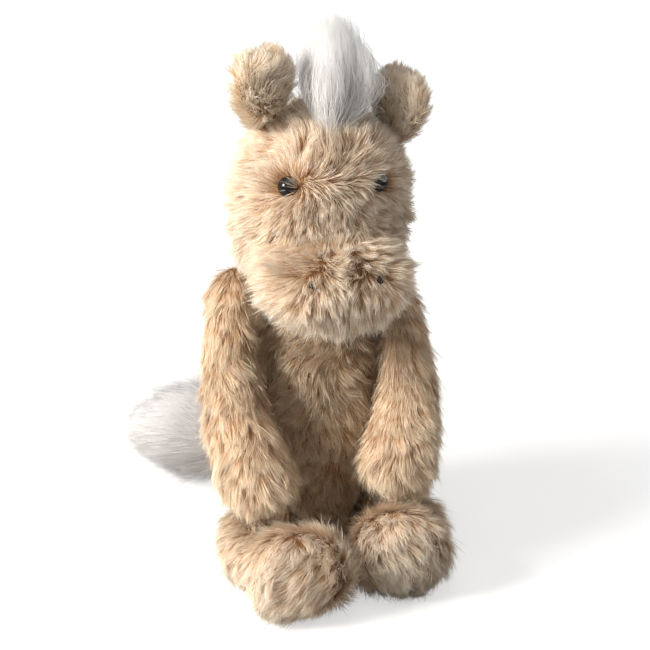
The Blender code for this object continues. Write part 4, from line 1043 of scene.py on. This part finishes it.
def build_nostrils():
    """Each nostril is three dark stitches side by side, sewn through the pile."""
    for side in SIDES:
        middle = middle_of(side + "_nostril")
        stitches = []
        for place, lean in ((-0.0005, -0.25), (0.0, 0.1), (0.0005, 0.4)):
            deselect()
            centre = middle + Vector((place, -0.0008, abs(place) * 0.6))
            bpy.ops.mesh.primitive_torus_add(major_segments=16, minor_segments=8, major_radius=0.0014,
                                             minor_radius=0.00026, location=centre,
                                             rotation=(0, math.pi / 2, 0))
            stitch = bpy.context.object
            place_in_mesh(stitch)
            bpy.ops.object.mode_set(mode="EDIT")
            bpy.ops.mesh.select_all(action="SELECT")
            bpy.ops.transform.resize(value=(1, 0.65, 1), center_override=centre)
            bpy.ops.transform.rotate(value=lean, orient_axis="Y", center_override=centre)
            bpy.ops.object.mode_set(mode="OBJECT")
            stitches.append(stitch)
        deselect()
        for stitch in stitches:
            stitch.select_set(True)
        bpy.context.view_layer.objects.active = stitches[0]
        bpy.ops.object.join()
        joined = bpy.context.object
        joined.name = side + "_nostril_stitches"
        bpy.ops.object.shade_smooth()
        finish(joined, "thread", "head", "dark_thread", side + "_nostril")


def clothe_kept_nodes():
    """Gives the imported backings, which stay, a woven finish."""
    for name, node in NODES.items():
        if name.endswith("_backing"):
            node.data.materials.clear()
            node.data.materials.append(grained_material(name + " knit", (0.8, 0.78, 0.72), 0.9))


# Operators

class HORSE_OT_stage(bpy.types.Operator):
    """Adds the ground, the lamps and the camera"""
    bl_idname = "horse.stage"
    bl_label = "Stage"

    def execute(self, context):
        make_materials()
        build_stage()
        return {"FINISHED"}


class HORSE_OT_torso(bpy.types.Operator):
    """Grows the body's and neck's skins and pile"""
    bl_idname = "horse.torso"
    bl_label = "Body"

    def execute(self, context):
        build_torso()
        return {"FINISHED"}


class HORSE_OT_limbs(bpy.types.Operator):
    """Grows the arms and legs"""
    bl_idname = "horse.limbs"
    bl_label = "Arms and legs"

    def execute(self, context):
        for side in SIDES:
            build_arm(side)
            build_leg(side)
        return {"FINISHED"}


class HORSE_OT_head(bpy.types.Operator):
    """Grows the head with its muzzle"""
    bl_idname = "horse.head"
    bl_label = "Head"

    def execute(self, context):
        build_head()
        return {"FINISHED"}


class HORSE_OT_ears(bpy.types.Operator):
    """Grows both ears"""
    bl_idname = "horse.ears"
    bl_label = "Ears"

    def execute(self, context):
        for side in SIDES:
            build_ear(side)
        return {"FINISHED"}


class HORSE_OT_eyes(bpy.types.Operator):
    """Adds the bead eyes and their washers"""
    bl_idname = "horse.eyes"
    bl_label = "Eyes"

    def execute(self, context):
        build_eyes()
        return {"FINISHED"}


class HORSE_OT_nostrils(bpy.types.Operator):
    """Sews the nostrils"""
    bl_idname = "horse.nostrils"
    bl_label = "Nostrils"

    def execute(self, context):
        build_nostrils()
        return {"FINISHED"}


class HORSE_OT_forelock(bpy.types.Operator):
    """Grows the forelock"""
    bl_idname = "horse.forelock"
    bl_label = "Forelock"

    def execute(self, context):
        build_forelock()
        return {"FINISHED"}


class HORSE_OT_mane(bpy.types.Operator):
    """Grows the mane"""
    bl_idname = "horse.mane"
    bl_label = "Mane"

    def execute(self, context):
        build_mane()
        return {"FINISHED"}


class HORSE_OT_tail(bpy.types.Operator):
    """Grows the tail"""
    bl_idname = "horse.tail"
    bl_label = "Tail"

    def execute(self, context):
        build_tail()
        return {"FINISHED"}


class HORSE_PT_panel(bpy.types.Panel):
    """Lists the horse's pieces and settings"""
    bl_idname = "HORSE_PT_panel"
    bl_label = "Plush horse"
    bl_space_type = "VIEW_3D"
    bl_region_type = "UI"
    bl_category = "Plush horse"

    def draw(self, context):
        column = self.layout.column()
        for operator in OPERATORS:
            column.operator(operator.bl_idname)
        horse = context.scene.plush_horse
        for group in (horse.sizes, horse.colours, horse.stage):
            box = self.layout.box()
            for key in group.__annotations__:
                box.prop(group, key)


OPERATORS = (HORSE_OT_stage, HORSE_OT_torso, HORSE_OT_limbs, HORSE_OT_head, HORSE_OT_ears, HORSE_OT_eyes,
             HORSE_OT_nostrils, HORSE_OT_forelock, HORSE_OT_mane, HORSE_OT_tail)
GROUPS = (PlushHorseSizes, PlushHorseColours, PlushHorseStage, PlushHorseSettings)


def register():
    for item in (*GROUPS, *OPERATORS, HORSE_PT_panel):
        bpy.utils.register_class(item)
    bpy.types.Scene.plush_horse = PointerProperty(type=PlushHorseSettings)


def unregister():
    del bpy.types.Scene.plush_horse
    for item in reversed((*GROUPS, *OPERATORS, HORSE_PT_panel)):
        bpy.utils.unregister_class(item)


def main():
    register()
    for operator in OPERATORS:
        group, name = operator.bl_idname.split(".")
        getattr(getattr(bpy.ops, group), name)()
    clothe_kept_nodes()


if __name__ == "__main__":
    main()
